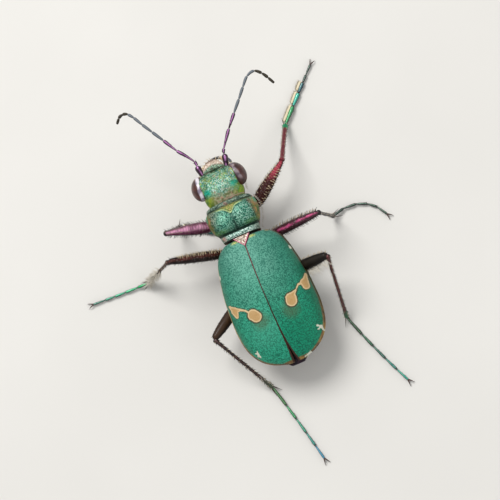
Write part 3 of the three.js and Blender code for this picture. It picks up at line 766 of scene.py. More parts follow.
def makeElytron(name, side, material):
    shape = elytra
    quarter = np.pi / 2 - 1e-4
    start = shape["frontRound"] / shape["length"]
    fine = np.linspace(start, 1 + shape["tipReach"], 4000)
    u = evenShares(elytronDome(fine, quarter)[0], start, fine[-1], shape["rows"])
    fineTheta = np.linspace(0, quarter, 2000)
    theta = evenShares(elytronDome(0.5, fineTheta)[0], 0, quarter, shape["columns"])

    # rows that round off the front edge, then the dome
    turns = np.radians([90, 72, 54, 36, 18])
    drop = np.concatenate([shape["frontRound"] * (1 - np.cos(turns)), np.zeros(len(u))])[:, None]
    u = np.concatenate([shape["frontRound"] * (1 - np.sin(turns)) / shape["length"], u])[:, None]
    dome, suture = elytronDome(u, theta[None, :])
    room = np.minimum(dome[:, -1:, 0] - suture, shape["height"](u))
    thick = np.minimum(shape["wall"], 0.4 * room)
    fromMargin = np.cumsum(np.linalg.norm(np.diff(dome[:, ::-1], axis=1), axis=2), axis=1)[:, ::-1]
    fromMargin = np.hstack([fromMargin, np.zeros((len(u), 1))])
    fromSuture = dome[..., 0] - suture

    # raised beads along the margin and the suture, a shoulder knob and two shallow hollows
    width, height = shape["beadWidth"], shape["beadHeight"](u)
    bead = bell(fromMargin - 0.8 * width, width) - 0.4 * bell(fromMargin - 3.2 * width, width)
    seamBead = bell(fromSuture - shape["seamWidth"], shape["seamWidth"])
    degrees = np.degrees(theta)[None, :]
    lift = height * bead + shape["seamHeight"] * seamBead + humps(degrees, u, shape["humps"]) - drop
    outer = dome + gridNormals(dome, False) * np.minimum(lift, 1)[..., None]
    outer[..., 1] = dome[..., 1]

    # face along the suture, and the edge folded under
    def column(x, z):
        return np.stack(np.broadcast_arrays(x, shape["length"] * u, z), -1)

    inner = dome.copy()
    inner[..., 0] = suture + (dome[..., 0] - suture) * (1 - thick / (dome[:, -1:, 0] - suture))
    inner[..., 2] *= 1 - thick / shape["height"](u)
    top = outer[:, :1, 2]
    face = [column(suture, top - thick * share) for share in (0.85, 0.5, 0.2)]
    innerFace = [column(suture + 0.004 * k, top - thick) for k in range(3)]
    edge = dome[:, -1:, 0]
    fold = np.minimum(1, (edge - suture) / 1.4) * shape["foldWidth"]
    folds = [(0.0, -0.05), (0.12, -0.09), (0.4, -0.115), (1.0, -0.12)]
    under = [column(edge - fold * share, z * fold / shape["foldWidth"]) for share, z in folds]
    innerEdge = inner[:, -1:, 0]
    gapLeft = innerEdge - (edge - fold)
    innerUnder = [
        column(innerEdge - np.maximum(gapLeft, 0) * share, z * fold / shape["foldWidth"])
        for share, z in ((0.1, 0.0), (0.3, -0.02), (0.6, -0.05), (0.95, -0.08))
    ]
    outer = np.concatenate([*face, outer, *under], axis=1)
    inner = np.concatenate([*innerFace, inner, *innerUnder], axis=1)

    # how near to the margin, to the suture and to the front edge
    folded = ((0, 0), (len(face), len(under)))
    nearEnd = bell(shape["length"] * (u[-1] - u), shape["endReach"])
    rim = np.maximum(bell(fromMargin, shape["rimReach"]), nearEnd)
    rim = np.pad(rim, folded, constant_values=(0, 1))
    seam = np.pad(bell(fromSuture, shape["seamReach"](u)), folded, constant_values=(1, 0))
    front = bell(shape["length"] * u, shape["frontReach"]) + 0 * rim
    smooth = np.clip(1 - 0.6 * np.maximum(rim, seam), 0, 1)
    points = platePoints(outer, inner)
    points[:, 0] *= side
    within = np.zeros(rim.size)
    attributes = {
        "relief": np.concatenate([smooth.ravel(), within]),
        "rim": np.concatenate([rim.ravel(), within + 1]),
        "seam": np.concatenate([seam.ravel(), within + 1]),
        "front": np.concatenate([front.ravel(), within]),
    }
    piece = newPiece(name, fromBody(leaned(points)), plateFaces(*outer.shape[:2]), None, attributes)
    return roughened(piece, shape["relief"], material)


def onElytron(x, y):            # place on the wing case over a point of its plan
    u = y / elytra["length"]
    thetas = np.linspace(0, np.pi / 2, 400)
    dome = elytronDome(u, thetas)[0]
    return (x, y, float(np.interp(abs(x), dome[:, 0], dome[:, 2])))


# Colours of each wing case, and its pale marks: drops between two points of the plan, each with its radius
caseLooks = {
    "left": {
        "greens": [("#09684f", "#206453"), ("#2ea684", "#408672")],     # pits and tops, rear and front; the greyer front is a painted sheen, and the lighter rear than on the right is painted light
        "sheenStripAt": 0.6,                     # middle of the greyer strip, a painted highlight
        "gold": (0.55, 0.2, 1.2),
        "turquoise": [],
        # broad lighter patch behind: painted light
        "patch": ((0.9, 6.0, 1.5), 1.6),
        "patchShare": 0.2,
        "patchColours": ("#5cb498", "#5cb498"),
        "margin": ("#8a6838", "#e0c488"),   # bright gold as a painted highlight, before the copper of the rear
        "spot": [((1.15, 4.66), 0.335, (1.01, 4.84), 0.34)],
        "wedge": [
            ((2.34, 3.56), 0.05, (2.14, 3.95), 0.19), ((2.12, 4.0), 0.24, (2.12, 4.36), 0.1),
            ((2.2, 3.78), 0.12, (1.84, 4.02), 0.07), ((2.05, 4.0), 0.14, (1.76, 4.05), 0.07),
            ((1.76, 4.05), 0.065, (1.48, 4.24), 0.045), ((1.48, 4.24), 0.045, (1.34, 4.42), 0.06),
        ],
        "flecks": [
            ((2.22, 1.6), 0.03, (2.25, 1.74), 0.05), ((1.98, 6.8), 0.02, (1.86, 6.9), 0.06),
            ((1.86, 6.9), 0.055, (1.8, 7.12), 0.03), ((1.84, 6.72), 0.02, (1.87, 6.9), 0.04),
            ((1.87, 6.92), 0.04, (1.96, 7.04), 0.02),
        ],
        "smudge": (0.86, 5.2),
    },
    "right": {
        # pits and tops, rear and front, darker behind than on the left: painted shade
        "greens": [("#005c46", "#206453"), ("#0a9470", "#408672")],
        "sheenStripAt": -0.2,
        "gold": (-0.62, 0.2, 1.2),
        "turquoise": [(-1.15, 0.3, 1.2)],
        # broad darker patch behind: painted shade
        "patch": ((-1.5, 6.4, 1.2), 1.7),
        "patchShare": 0.35,
        "patchColours": ("#005038", "#0a9068"),
        # dark as painted shade, before the copper of the rear
        "margin": ("#1c2414", "#5c4a24"),
        "spot": [((-1.36, 4.64), 0.33, (-1.32, 4.8), 0.33), ((-1.52, 4.46), 0.16, (-1.8, 4.28), 0.05)],
        "wedge": [
            ((-2.68, 3.54), 0.07, (-2.5, 3.98), 0.18), ((-2.44, 4.0), 0.24, (-2.46, 4.27), 0.2),
            ((-2.44, 3.96), 0.12, (-2.06, 4.02), 0.05), ((-2.06, 4.02), 0.045, (-1.86, 4.22), 0.03),
        ],
        "flecks": [
            ((-2.42, 1.52), 0.03, (-2.45, 1.68), 0.055), ((-2.12, 6.69), 0.045, (-2.3, 6.82), 0.075),
            ((-2.3, 6.82), 0.06, (-2.36, 7.08), 0.04), ((-2.28, 6.82), 0.05, (-2.1, 6.92), 0.035),
            ((-0.68, 8.08), 0.035, (-1.1, 7.98), 0.06),
        ],
        "smudge": (-1.1, 5.24),
    },
}


def elytronFinish(name):
    bench = newFinish("greenWingCase_" + name)
    look = caseLooks[name]
    here, body = bench.here(), bench.onBody()
    plan = body.vector("MULTIPLY", (1, 1, 0))
    x, y, _ = body.split()

    # finely grained green, greyer in front as a painted sheen and deeper behind, with a greyer strip as a
    # painted highlight and darker steep sides as painted shade
    pits = here.cells(elytra["relief"][0] * mm)
    grain = here.noise(0.06 * mm, 2.0, 0.6)
    broad = here.noise(1.6 * mm, 2.0)
    front = (y + (broad - 0.5) * 3).fall(0.0, 7.0)
    inner = (abs(x - look["sheenStripAt"]) + (broad - 0.5)).fall(0.3, 2.2)
    deep, light = [front.mix(*greens) for greens in look["greens"]]
    light = (inner * front * 0.45).mix(light, "#6ea090")
    shadedFlank = (abs(x) + (grain - 0.5) * 0.2).step(1.9, 2.7)
    green = bench.layers(
        (grain - (pits - 0.4) * 0.24).step(0.37, 0.57).mix(deep, light),
        # darker steep outer sides of the wing case: painted shade
        (shadedFlank * 0.5, "#06583a"),
        # broad patch, lighter on the left and darker on the right: painted light and painted shade
        (body.near(*look["patch"]) * look["patchShare"], grain.mix(*look["patchColours"])),
    )

    # gold, turquoise and copper along the front
    edge = bench.attribute("front")
    onEdge = edge.step(0.02, 0.6)
    green = bench.layers(
        green,
        (body.near(look["gold"], 0.42) * onEdge, grain.ramp((0.4, "#7d8a2c"), (0.6, "#d0c668"))),
        *[(onEdge * body.near(place, 0.4), "#1c9a84") for place in look["turquoise"]],
        (abs(x).step(1.35, 1.6) * edge.step(0.25, 0.7) * 0.8, "#b08a4c"),
    )

    def outside(drops):
        nearest = None
        for start, startRadius, end, endRadius in drops:
            drop = bench.outsideDrop(plan, (*start, 0), startRadius, (*end, 0), endRadius)
            nearest = drop if nearest is None else nearest.maths("SMOOTH_MIN", drop, 0.06)
        return nearest

    # tan marks with a darker hem, white flecks, then the copper margin, before the copper a painted highlight
    # on the left and painted shade on the right, and the suture
    ragged = (here.noise(0.14 * mm, 2.0) - 0.5) * 0.07
    spot = outside(look["spot"]) + ragged
    pale = spot.maths("SMOOTH_MIN", outside(look["wedge"]) + ragged, 0.05)
    inMark = pale.fall(-0.025, 0.015)
    inFleck = (outside(look["flecks"]) + ragged * 2).fall(-0.02, 0.03)
    tan = bench.layers(
        here.noise(0.3 * mm, 2.0).mix("#a8834a", "#bf9c6e"),
        (pale.step(-0.12, 0.0), "#d8bd92"),
        (pits.fall(0.1, 0.45) * 0.25, "#9a7642"),
    )
    copper = here.noise(0.35 * mm, 3.0)
    copper = copper.ramp((0.36, "#4c2f1c"), (0.5, "#7c5228"), (0.64, "#a07a3c"))
    copper = y.step(4.8, 6.8).mix(grain.mix(*look["margin"]), copper)
    onRim = (bench.attribute("rim") + (grain - 0.5) * 0.2).step(0.3, 0.6) * (1 - inFleck)
    redBrown = y.step(1.5, 5.0).mix("#6b2c34", "#3c2014")
    colour = bench.layers(
        green,
        (body.near(onElytron(*look["smudge"]), 0.8) * 0.55, "#4b5a3c"),
        (spot.fall(0.02, 0.13) * 0.85, "#33301c"),
        (pale.fall(0.01, 0.07) * 0.7, "#54452a"),
        (inMark, tan),
        (inFleck, grain.mix("#b9b89c", "#ecebdd")),
        (onRim * 0.9, copper),
        (bench.attribute("seam").step(0.25, 0.6), redBrown),
    )
    return finishWith(bench, {
        "Base Color": colour,
        "Metallic": 0.3 - (inMark | inFleck) * 0.28,
        "Roughness": 0.42 + grain * 0.2,
        "Normal": (grain - pits * 0.4).bump(0.012 * mm),
        "Specular IOR Level": 0.35,
    })


for name, side in sides.items():
    node = "elytron_" + name
    dress(makeElytron("wingCase_" + name, side, elytronFinish(name)), "elytra", node)
print("wing cases ready")


def makeScutellum():
    shape = scutellum
    share = np.linspace(shape["front"], 1, shape["rows"])[:, None]
    across = np.linspace(-1, 1, shape["columns"])[None, :]
    half = np.maximum(shape["width"] / 2 * (1 - share), shape["tip"])
    x = across * half
    fromEdge = (half - abs(x)) * 0.75
    z = shape["top"] - shape["arch"] * across ** 2 * np.clip(1 - share, 0, 1)
    height, width = shape["rim"]
    z = z + height * bell(fromEdge - 0.03, width) - shape["dish"] * ease(fromEdge, 0.04, 0.16)
    y = np.broadcast_to(share * shape["length"], x.shape)
    outer = np.stack([x, y, z], -1)
    inner = outer - np.array([0, 0, shape["depth"]])
    points = platePoints(outer, inner)
    rim = np.tile(1 - ease(fromEdge, 0.02, 0.09).ravel(), 2)

    bench = newFinish("pinkScutellum")
    grain = bench.here().noise(0.09 * mm, 3.0)
    colour = grain.ramp((0.38, "#7a6454"), (0.5, "#a89484"), (0.62, "#d8ccc0"))
    edge = bench.here().noise(0.2 * mm).mix("#b4527c", "#d98a96")
    material = finishWith(bench, {
        "Base Color": bench.attribute("rim").mix(colour, edge),
        "Metallic": 0.45, "Roughness": 0.38, "Normal": grain.bump(0.015 * mm),
    })
    return newPiece("scutellum", fromBody(points), plateFaces(*x.shape), material, {"rim": rim})


dress(makeScutellum(), "scutellum", "scutellum")
print("scutellum ready")

# Trunk: rings from a row of places, each ring given by its own rule

def loftOf(name, ys, ringAt, liftAt, material, attributes, relief, leans=False):
    grid = np.stack([ringAt(y) for y in ys])
    lift = liftAt(*np.moveaxis(grid, -1, 0))
    grid = grid + gridNormals(grid) * lift[..., None]
    values = {key: rule(*np.moveaxis(grid, -1, 0)).ravel() for key, rule in attributes.items()}
    if leans:
        grid = leaned(grid)
    faces = loftFaces(*grid.shape[:2])
    return roughened(newPiece(name, fromBody(grid.reshape(-1, 3)), faces, None, values), relief, material)


def shrunk(ring, inset):        # ring drawn in towards its own middle by a width
    middle = ring.mean(axis=0)
    size = np.abs(ring - middle).max()
    return middle + (ring - middle) * np.array([1 - inset / size, 1, 1 - inset / size])


# Head

eyes = {
    "centre": (1.2, -3.84, 0.34),
    "radii": (0.58, 0.76, 0.64),
    "turn": 9.0,
    "cuts": 6,                  # of the ball, each with four times the lenses
    "lensRise": 0.002,
    "lensTop": 0.6,             # size of a lens's top to its foot
}
head = {
    "rear": -2.56,
    "front": -4.62,
    "behind": -2.3,             # where it ends inside the prothorax
    "halfWidth": profile([
        (0, 1.16), (0.14, 1.26), (0.35, 1.3), (0.55, 1.24), (0.75, 1.14), (0.9, 0.96), (1, 0.8),
    ]),
    "top": profile([(0, 0.74), (0.2, 0.94), (0.45, 1.02), (0.7, 0.86), (0.88, 0.55), (1, 0.26)]),
    "bottom": profile([(0, -0.5), (0.2, -0.82), (0.5, -0.95), (0.8, -0.86), (1, -0.6)]),
    "squareness": 0.85,
    "ridge": (0.5, 0.98, 1.12, 1.2),    # where the ridge over an eye rises and falls
    "ridgeOver": 0.03,
    "ridgeReach": 1.04,         # to the eye's own length, and how soon the ridge is full
    "ridgeFull": 0.35,
    "humps": [(-0.07, 0, 0.6, -3.8, 0.55), (0.04, 0.72, 0.12, -4.15, 0.16)],
    "vertexLine": 0.015,        # depths
    "clypeusLine": 0.02,
    "cheek": 0.03,
    "frontRound": 0.12,
    "rows": 170,
    "columns": 250,
    "relief": (0.085, 0.014, 0.3, 0.01),
    "socket": (0.74, -4.42, 0.08),      # of a feeler: place, then depth and width
    "socketSize": (0.08, 0.12),
}


def headRing(y):
    shape = head
    share = np.clip((y - shape["rear"]) / (shape["front"] - shape["rear"]), 0, 1)
    sizes = [shape[key](share) for key in ("halfWidth", "top", "bottom")]
    ring = section(y, *sizes, shape["squareness"])
    overEye = (y - eyes["centre"][1]) / (eyes["radii"][1] * shape["ridgeReach"])
    overEye = math.sqrt(max(0.0, 1 - overEye ** 2))
    if overEye > 0:
        crest = eyes["centre"][2] + eyes["radii"][2] * overEye + shape["ridgeOver"]
        inner, top, outer, end = shape["ridge"]
        lateral = ease(abs(ring[:, 0]), inner, top) * (1 - ease(abs(ring[:, 0]), outer, end))
        rise = np.maximum(0, crest - ring[:, 2]) * lateral * (ring[:, 2] > 0)
        ring[:, 2] += rise * min(1, overEye / shape["ridgeFull"])
    inset = shape["frontRound"]
    past = np.clip((shape["front"] + inset - y) / inset, 0, 1)
    ring = shrunk(ring, inset * (1 - math.sqrt(1 - past ** 2)))
    return evenRing(ring, shape["columns"])


def headLift(x, y, z):
    shape = head
    onTop = ease(z, 0.1, 0.35)
    vertexLine = bell(x, 0.05) * ease(y, -3.5, -3.2) * (1 - ease(y, -2.9, -2.7))
    clypeus = bell(y + 4.4 - 0.1 * (x / 0.8) ** 2, 0.035)
    lift = humps(x, y, shape["humps"]) - shape["vertexLine"] * vertexLine - shape["clypeusLine"] * clypeus
    sx, sy, sz = shape["socket"]
    depth, width = shape["socketSize"]
    socket = np.exp(-((abs(x) - sx) ** 2 + (y - sy) ** 2 + (z - sz) ** 2) / width ** 2)
    cheek = bell(y + 3.2, 0.12) * (1 - onTop)
    return lift * onTop - depth * socket - shape["cheek"] * cheek


def granular(bench, here, size):        # a fine grain and the pits between granules of a size
    grain = here.noise(size * 0.7 * mm, 3.0, 0.6)
    return grain, (here.cells(size * mm) + (grain - 0.5) * 0.6).step(0.2, 0.6)


def headFinish():
    bench = newFinish("headCuticle")
    here, body = bench.here(), bench.onBody()
    x, y, z = body.split()
    grain, pits = granular(bench, here, 0.085)
    blotch = here.noise(0.3 * mm, 3.0)
    rose = body.near((-0.95, -4.05, 0.8), 0.5) * grain.step(0.42, 0.56)
    yellow = body.near((-0.39, -4.15, 0.8), 0.34) | body.near((0.58, -4.22, 0.75), 0.4)
    valley = (y + x * 0.12).line(-3.68, 0.09) * abs(x + 0.1).fall(0.3, 0.75)
    green = bench.layers(
        blotch.ramp((0.38, "#239078"), (0.47, "#3fa07c"), (0.55, "#62aa70"), (0.64, "#8fae50")),
        (body.near((0.05, -3.4, 0.95), 1.1) * 0.55, "#8fb8a8"),
        (rose * 0.8, "#b9b4bc"),
        (yellow * 0.75, grain.ramp((0.42, "#48b058"), (0.56, "#c4cc40"))),
        (valley * 0.5, "#2a6f5c"),
    )

    # specks: pale mint, dark green, yellow and pink, and a turquoise patch beside each eye
    other = here.vector("ADD", (0.1, 0.2, 0.3))
    speck = other.noise(0.075 * mm, 1.0)
    gold = here.noise(0.13 * mm, 2.0).step(0.56, 0.62)
    rosy = other.noise(0.12 * mm, 2.0).step(0.6, 0.66)
    turquoise = grain.ramp((0.4, "#006e5c"), (0.5, "#00a083"), (0.6, "#2fd8b4"))
    green = bench.layers(
        green,
        (speck.step(0.5, 0.6) * 0.75, "#d4ece0"),
        (speck.fall(0.38, 0.46) * 0.85, "#12604c"),
        (gold * (0.25 + y.fall(-3.9, -3.5) * 0.5), "#bcc046"),
        (rosy * 0.6, "#c98e84"),
        (pits * 0.5, "#1c5b48"),
        (body.near((0.9, -3.34, 0.9), 0.36) * 0.9, turquoise),
        (body.near((-0.88, -3.3, 0.95), 0.36) * 0.9, turquoise),
    )

    # smoother olive vertex behind, brighter towards the sides
    sideward = abs(x).step(0.5, 1.05)
    olive = here.noise(0.16 * mm, 3.0)
    olive = bench.layers(
        olive.ramp((0.38, "#6a6c42"), (0.5, "#8a8a5e"), (0.62, "#b4ae8c")),
        (sideward, blotch.ramp((0.4, "#568020"), (0.56, "#90a62c"))),
        (rosy * (1 - sideward), "#c88a7c"),
    )
    rear = (y + (blotch - 0.5) * 0.8 + (grain - 0.5) * 0.3 + abs(x) * 0.16).step(-3.25, -2.72)
    paleLine = y.line(-2.62, 0.05) * x.fall(-0.2, 0.5)

    # green ridge beside the eye, speckled clypeus, cheeks and the underside
    ridge = abs(x).line(1.13, 0.075) * z.step(0.4, 0.6)
    clypeus = (y + (grain - 0.5) * 0.4 - x * x * 0.3).fall(-4.62, -4.5)
    mottled = speck.ramp((0.4, "#26281e"), (0.48, "#4a6a50"), (0.56, "#6fa888"), (0.64, "#b8ccb0"))
    copper = blotch.ramp((0.35, "#4a2a2c"), (0.5, "#7a4a34"), (0.65, "#3f7a5c"))
    colour = bench.layers(
        rear.mix(green, olive),
        (paleLine * 0.6, "#c9a49c"),
        # dark band where the head goes in under the prothorax: painted shade
        (y.step(-2.57, -2.53) * 0.9, "#1f241c"),
        (ridge * 0.8, blotch.ramp((0.4, "#2b6a3a"), (0.6, "#8a9a3a"))),
        (clypeus * 0.8, mottled),
        (z.fall(-0.1, 0.3) * abs(x).fall(1.3, 1.5), copper),
    )
    height = ((1 - pits) + grain * 0.6) * (1 - rear * 0.6)
    return finishWith(bench, {
        "Base Color": colour, "Metallic": 0.45, "Roughness": 0.36 + grain * 0.2,
        "Normal": height.bump(0.022 * mm),
    })


def makeHead():
    shape = head
    body = np.linspace(shape["behind"], shape["front"] + shape["frontRound"], shape["rows"])
    turns = np.sin(np.linspace(0, np.pi / 2, 14)[1:])
    ys = np.concatenate([body, shape["front"] + shape["frontRound"] * (1 - turns)])

    def relief(x, y, z):
        return (1 - ease(y, -3.1, -2.8)) * 0.85 + 0.15

    return loftOf("head", ys, headRing, headLift, headFinish(), {"relief": relief}, shape["relief"])


dress(makeHead(), "head_green", "head")


def eyeFinish():
    bench = newFinish("compoundEye")
    here, body = bench.here(), bench.onBody()
    x, y, z = body.split()
    blotch = here.noise(0.35 * mm, 2.0)
    # pale lilac patches on the inner top of each eye, larger on the left: painted reflection
    left = (x + (blotch - 0.5) * 0.16 - (y + 3.45) * 0.1).line(1.27, 0.15) * 0.9
    right = (x + (blotch - 0.5) * 0.2 + (y + 3.7) * 0.2).line(-1.32, 0.14)
    right = right * y.fall(-3.6, -3.3) * 0.25
    colour = bench.layers(
        blotch.ramp((0.35, "#2c110e"), (0.55, "#45201b"), (0.7, "#5c3129")),
        ((left | right) * z.step(0.4, 0.6),
         blotch.ramp((0.4, "#857a8c"), (0.5, "#bcb4c0"), (0.58, "#e2dce2"))),
    )
    return finishWith(bench, {
        "Base Color": colour, "Roughness": 0.3, "Coat Weight": 0.6, "Coat Roughness": 0.05,
        "Specular IOR Level": 0.3,
    })


def makeEye(name, side, material):
    ball = bmesh.new()
    bmesh.ops.create_icosphere(ball, subdivisions=eyes["cuts"], radius=1)
    turn = Matrix.Rotation(math.radians(-side * eyes["turn"]), 3, "Z")
    cx, cy, cz = eyes["centre"]
    for corner in ball.verts:
        local = turn @ Vector([c * r for c, r in zip(corner.co, eyes["radii"])])
        corner.co = Vector(fromBody([side * cx + local.x, cy + local.y, cz + local.z])) * mm
    mesh = bpy.data.meshes.new(name)
    ball.to_mesh(mesh)
    ball.free()
    piece = bpy.data.objects.new(name, mesh)
    scene.collection.objects.link(piece)
    return runTree(piece, lensTree, {
        "Lens rise": eyes["lensRise"] * mm, "Lens top": eyes["lensTop"], "Material": material,
    })


eyeMaterial = eyeFinish()
for name, side in sides.items():
    dress(makeEye("eye_" + name, side, eyeMaterial), "eye", "eye_" + name)
print("head and eyes ready")

# Labrum, mandibles and palps

labrum = {
    "root": (0, -4.62, 0.27),
    "halfWidth": 0.7,
    "length": 0.74,
    "tilt": 26.0,
    "depth": (0.06, 0.3),       # at the rim and at most
    "arch": 0.24,
    "droop": 0.16,
    "roundedFront": 0.32,
    "keel": (0.03, 0.09),       # height and width
    "dents": (0.025, 0.3),      # depth, and place at the sides
    "teeth": 7,
    "toothLength": 0.05,
    "rows": 60,
    "columns": 90,
}


def makeLabrum():
    shape = labrum
    tilt = math.radians(shape["tilt"])
    ahead = np.array([0, -math.cos(tilt), -math.sin(tilt)])
    above = np.array([0, -math.sin(tilt), math.cos(tilt)])
    v = np.linspace(0, 1, shape["rows"])[:, None]
    s = np.linspace(-1, 1, shape["columns"])[None, :]
    wide = shape["halfWidth"] * np.sqrt(np.clip(1 - (v / 1.12) ** 2.2, 0.02, 1))
    x = s * wide
    curved = 1 - shape["roundedFront"] * (x / shape["halfWidth"]) ** 2
    teeth = shape["toothLength"] * (0.5 + 0.5 * np.cos(np.pi * (shape["teeth"] - 1) * s)) * ease(v, 0.8, 1)
    along = v * shape["length"] * curved + teeth
    arch = shape["arch"] * (1 - (x / (shape["halfWidth"] * 1.05)) ** 2) - shape["droop"] * v ** 2
    (height, width), (dent, dentAt) = shape["keel"], shape["dents"]
    keel = height * bell(x, width) * (1 - v) - dent * bell(abs(x) - dentAt, 0.12) * bell(v - 0.45, 0.3)
    bodyPoint = np.array(shape["root"]) + along[..., None] * ahead + (arch + keel)[..., None] * above
    outer = bodyPoint + x[..., None] * np.array([1, 0, 0])
    thin, most = shape["depth"]
    thick = np.minimum(most, thin + 0.4 * (wide - abs(x)) + 0 * v) * (1 - 0.7 * v)
    inner = outer - thick[..., None] * above
    points = platePoints(outer, inner)

    bench = newFinish("creamLabrum")
    x, y, _ = bench.onBody().split()
    grain = bench.here().noise(0.12 * mm, 3.0)
    fine = bench.here().noise(0.07 * mm, 2.0)
    base = (y + (grain - 0.5) * 0.4 - x * x * 0.5).step(-5.04, -4.88)
    mottled = fine.ramp((0.4, "#241e18"), (0.47, "#4c5440"), (0.54, "#4f9474"), (0.62, "#a8c0a4"))
    colour = bench.layers(
        grain.ramp((0.38, "#8f7666"), (0.5, "#c4ac98"), (0.62, "#ecdccb")),
        (y.fall(-5.26, -5.16) * 0.85, "#5c4030"),
        (base * 0.95, mottled),
    )
    material = finishWith(bench, {
        "Base Color": colour, "Roughness": 0.36, "Coat Weight": 0.3, "Normal": grain.bump(0.01 * mm),
        "Subsurface Weight": 0.05,
    })
    return newPiece("labrum", fromBody(points), plateFaces(shape["rows"], shape["columns"]), material)


dress(makeLabrum(), "labrum", "labrum")

mandibles = {
    "left": [
        (0.6, -4.42, -0.42), (0.74, -4.86, -0.46), (0.58, -5.12, -0.5), (0.16, -5.27, -0.56),
        (-0.3, -5.26, -0.64),
    ],
    "right": [
        (-0.6, -4.42, -0.4), (-0.82, -4.88, -0.38), (-0.64, -5.27, -0.32), (-0.16, -5.38, -0.26),
        (0.18, -5.26, -0.24),
    ],
    "girth": profile([(0, 0.24), (0.3, 0.19), (0.5, 0.13), (0.66, 0.08), (0.9, 0.06), (1, 0.02)]),
    "teeth": [(0.55, 0.16), (0.67, 0.18), (0.79, 0.14)],      # share of the way along, length
    "toothGirth": profile([(0, 0.07), (0.6, 0.045), (1, 0.012)]),
    "darkens": (0.5, 0.62),
}


def mandibleFinish():
    bench = newFinish("mandible")
    along = bench.attribute("along")
    grain = bench.here().noise(0.15 * mm, 2.0)
    ivory = grain.ramp((0.4, "#cdae86"), (0.6, "#ecd9b8"))
    dark = grain.ramp((0.4, "#120b0b"), (0.6, "#2a1a16"))
    colour = along.step(*mandibles["darkens"]).mix(ivory, dark)
    return finishWith(bench, {
        "Base Color": colour, "Roughness": 0.25, "Coat Weight": 0.6, "Coat Roughness": 0.1,
    })


def makeMandible(name, side, material):
    shape = mandibles
    smooth = curveThrough(shape[name])
    routes = [limbRoute(smooth[::8], shape["girth"], 70)]
    for share, length in shape["teeth"]:
        root = placeOnRoute(smooth, [share])[0]
        ahead = placeOnRoute(smooth, [min(1, share + 0.1)])[0] - root
        inward = unit(np.array([-side, 0.2, 0]) + 0.3 * unit(ahead))
        spike = [root, root + inward * length * 0.5, root + inward * length + unit(ahead) * length * 0.25]
        routes.append(limbRoute(spike, shape["toothGirth"], 16, share, 1.0, 0.4))
    return makeLimbs("mandible_" + name, onFrame(routes), material, 20)


palps = {
    "maxillary": [(0.72, -4.05, -0.72), (0.98, -4.42, -1.1), (1.05, -4.9, -1.3), (0.92, -5.3, -1.5)],
    "labial": [(0.3, -4.1, -0.85), (0.36, -4.5, -1.2), (0.42, -4.9, -1.45), (0.34, -5.2, -1.7)],
    "cuts": [0, 0.2, 0.48, 0.72, 1],
    "girths": [0.1, 0.085, 0.08, 0.085],
    "darkens": (0.6, 0.8),
}


def segmented(points, cuts, girths, swelling=0.22, steps=26):     # one route for each segment of a curve
    smooth = curveThrough(points)
    routes = []
    for start, end, girth in zip(cuts, cuts[1:], girths):
        inner, outer = girth if isinstance(girth, tuple) else (girth, girth)
        shares = np.linspace(start, end, 12)
        first, last = inner * (1 - swelling), outer * (1 - swelling * 0.5)
        rule = profile([(0, first), (0.3, inner), (0.75, outer), (1, last)])
        routes.append(limbRoute(placeOnRoute(smooth, shares), rule, steps, start, end, 0.8))
    return routes


def onFrame(routes):            # routes in body millimetres brought to the frame's
    return [(fromBody(points), girth, share) for points, girth, share in routes]


def palpFinish():
    bench = newFinish("palpCuticle")
    along = bench.attribute("along")
    grain = bench.here().noise(0.1 * mm, 2.0)
    pale = grain.ramp((0.4, "#b7a07a"), (0.6, "#d8c8a0"))
    dark = grain.ramp((0.4, "#1f4a4a"), (0.6, "#4a2f4c"))
    colour = along.step(*palps["darkens"]).mix(pale, dark)
    return finishWith(bench, {"Base Color": colour, "Roughness": 0.35, "Metallic": 0.2})


mandibleMaterial, palpMaterial = mandibleFinish(), palpFinish()
for name, side in sides.items():
    dress(makeMandible(name, side, mandibleMaterial), "mandible", "mandible_" + name)
    for kind in ("maxillary", "labial"):
        points = [(x * side, y, z) for x, y, z in palps[kind]]
        parts = onFrame(segmented(points, palps["cuts"], palps["girths"]))
        node = kind + "_palp_" + name
        dress(makeLimbs(node, parts, palpMaterial, 14), "palp", node)
print("mouthparts ready")

# Prothorax

prothorax = {
    "front": -2.5,
    "rear": -0.15,
    "halfWidth": profile([
        (0, 1.32), (0.08, 1.5), (0.22, 1.62), (0.4, 1.63), (0.6, 1.54), (0.8, 1.32), (0.88, 1.24), (1, 1.22),
    ]),
    "top": profile([
        (0, 0.94), (0.08, 1.0), (0.28, 1.15), (0.48, 1.26), (0.74, 1.14), (0.88, 1.0), (1, 0.96),
    ]),
    "bottom": profile([(0, -0.62), (0.2, -0.9), (0.6, -1), (0.85, -0.92), (1, -0.8)]),
    "squareness": 0.78,
    "round": 0.06,
    "rows": 190,
    "columns": 250,
    "collarFurrow": -2.24,
    "lobeFront": -2.16,         # of the lobes at the sides
    "notch": (0.42, 0.32),      # between them: how far it reaches back, and its width
    "rearFurrow": -0.52,
    "furrowBow": 0.05,
    "groove": (0.11, 0.065),    # depth and width of the furrows
    "lobes": 0.07,              # heights, and depths below nought
    "midline": -0.06,
    "collar": 0.03,
    "band": 0.05,
    "rim": -0.05,
    "seam": -0.03,
    "humps": [(0.07, 0.7, 0.44, -1.4, 0.55), (-0.06, 0, 0.16, -0.7, 0.12)],
    "relief": (0.075, 0.014, 0.35, 0.014),
}


def prothoraxRing(y):
    shape = prothorax
    share = np.clip((y - shape["front"]) / (shape["rear"] - shape["front"]), 0, 1)
    sizes = [shape[key](share) for key in ("halfWidth", "top", "bottom")]
    ring = section(y, *sizes, shape["squareness"])
    near = min(y - shape["front"], shape["rear"] - y)
    past = np.clip(1 - near / shape["round"], 0, 1)
    return evenRing(shrunk(ring, shape["round"] * (1 - math.sqrt(1 - past ** 2))), shape["columns"])


def pronotumLines(x):           # places of the lobes' front edge and the rear furrow, in body millimetres
    depth, width = prothorax["notch"]
    front = prothorax["lobeFront"] + depth * bell(x, width)
    rear = prothorax["rearFurrow"] - prothorax["furrowBow"] * x * x
    return front, rear


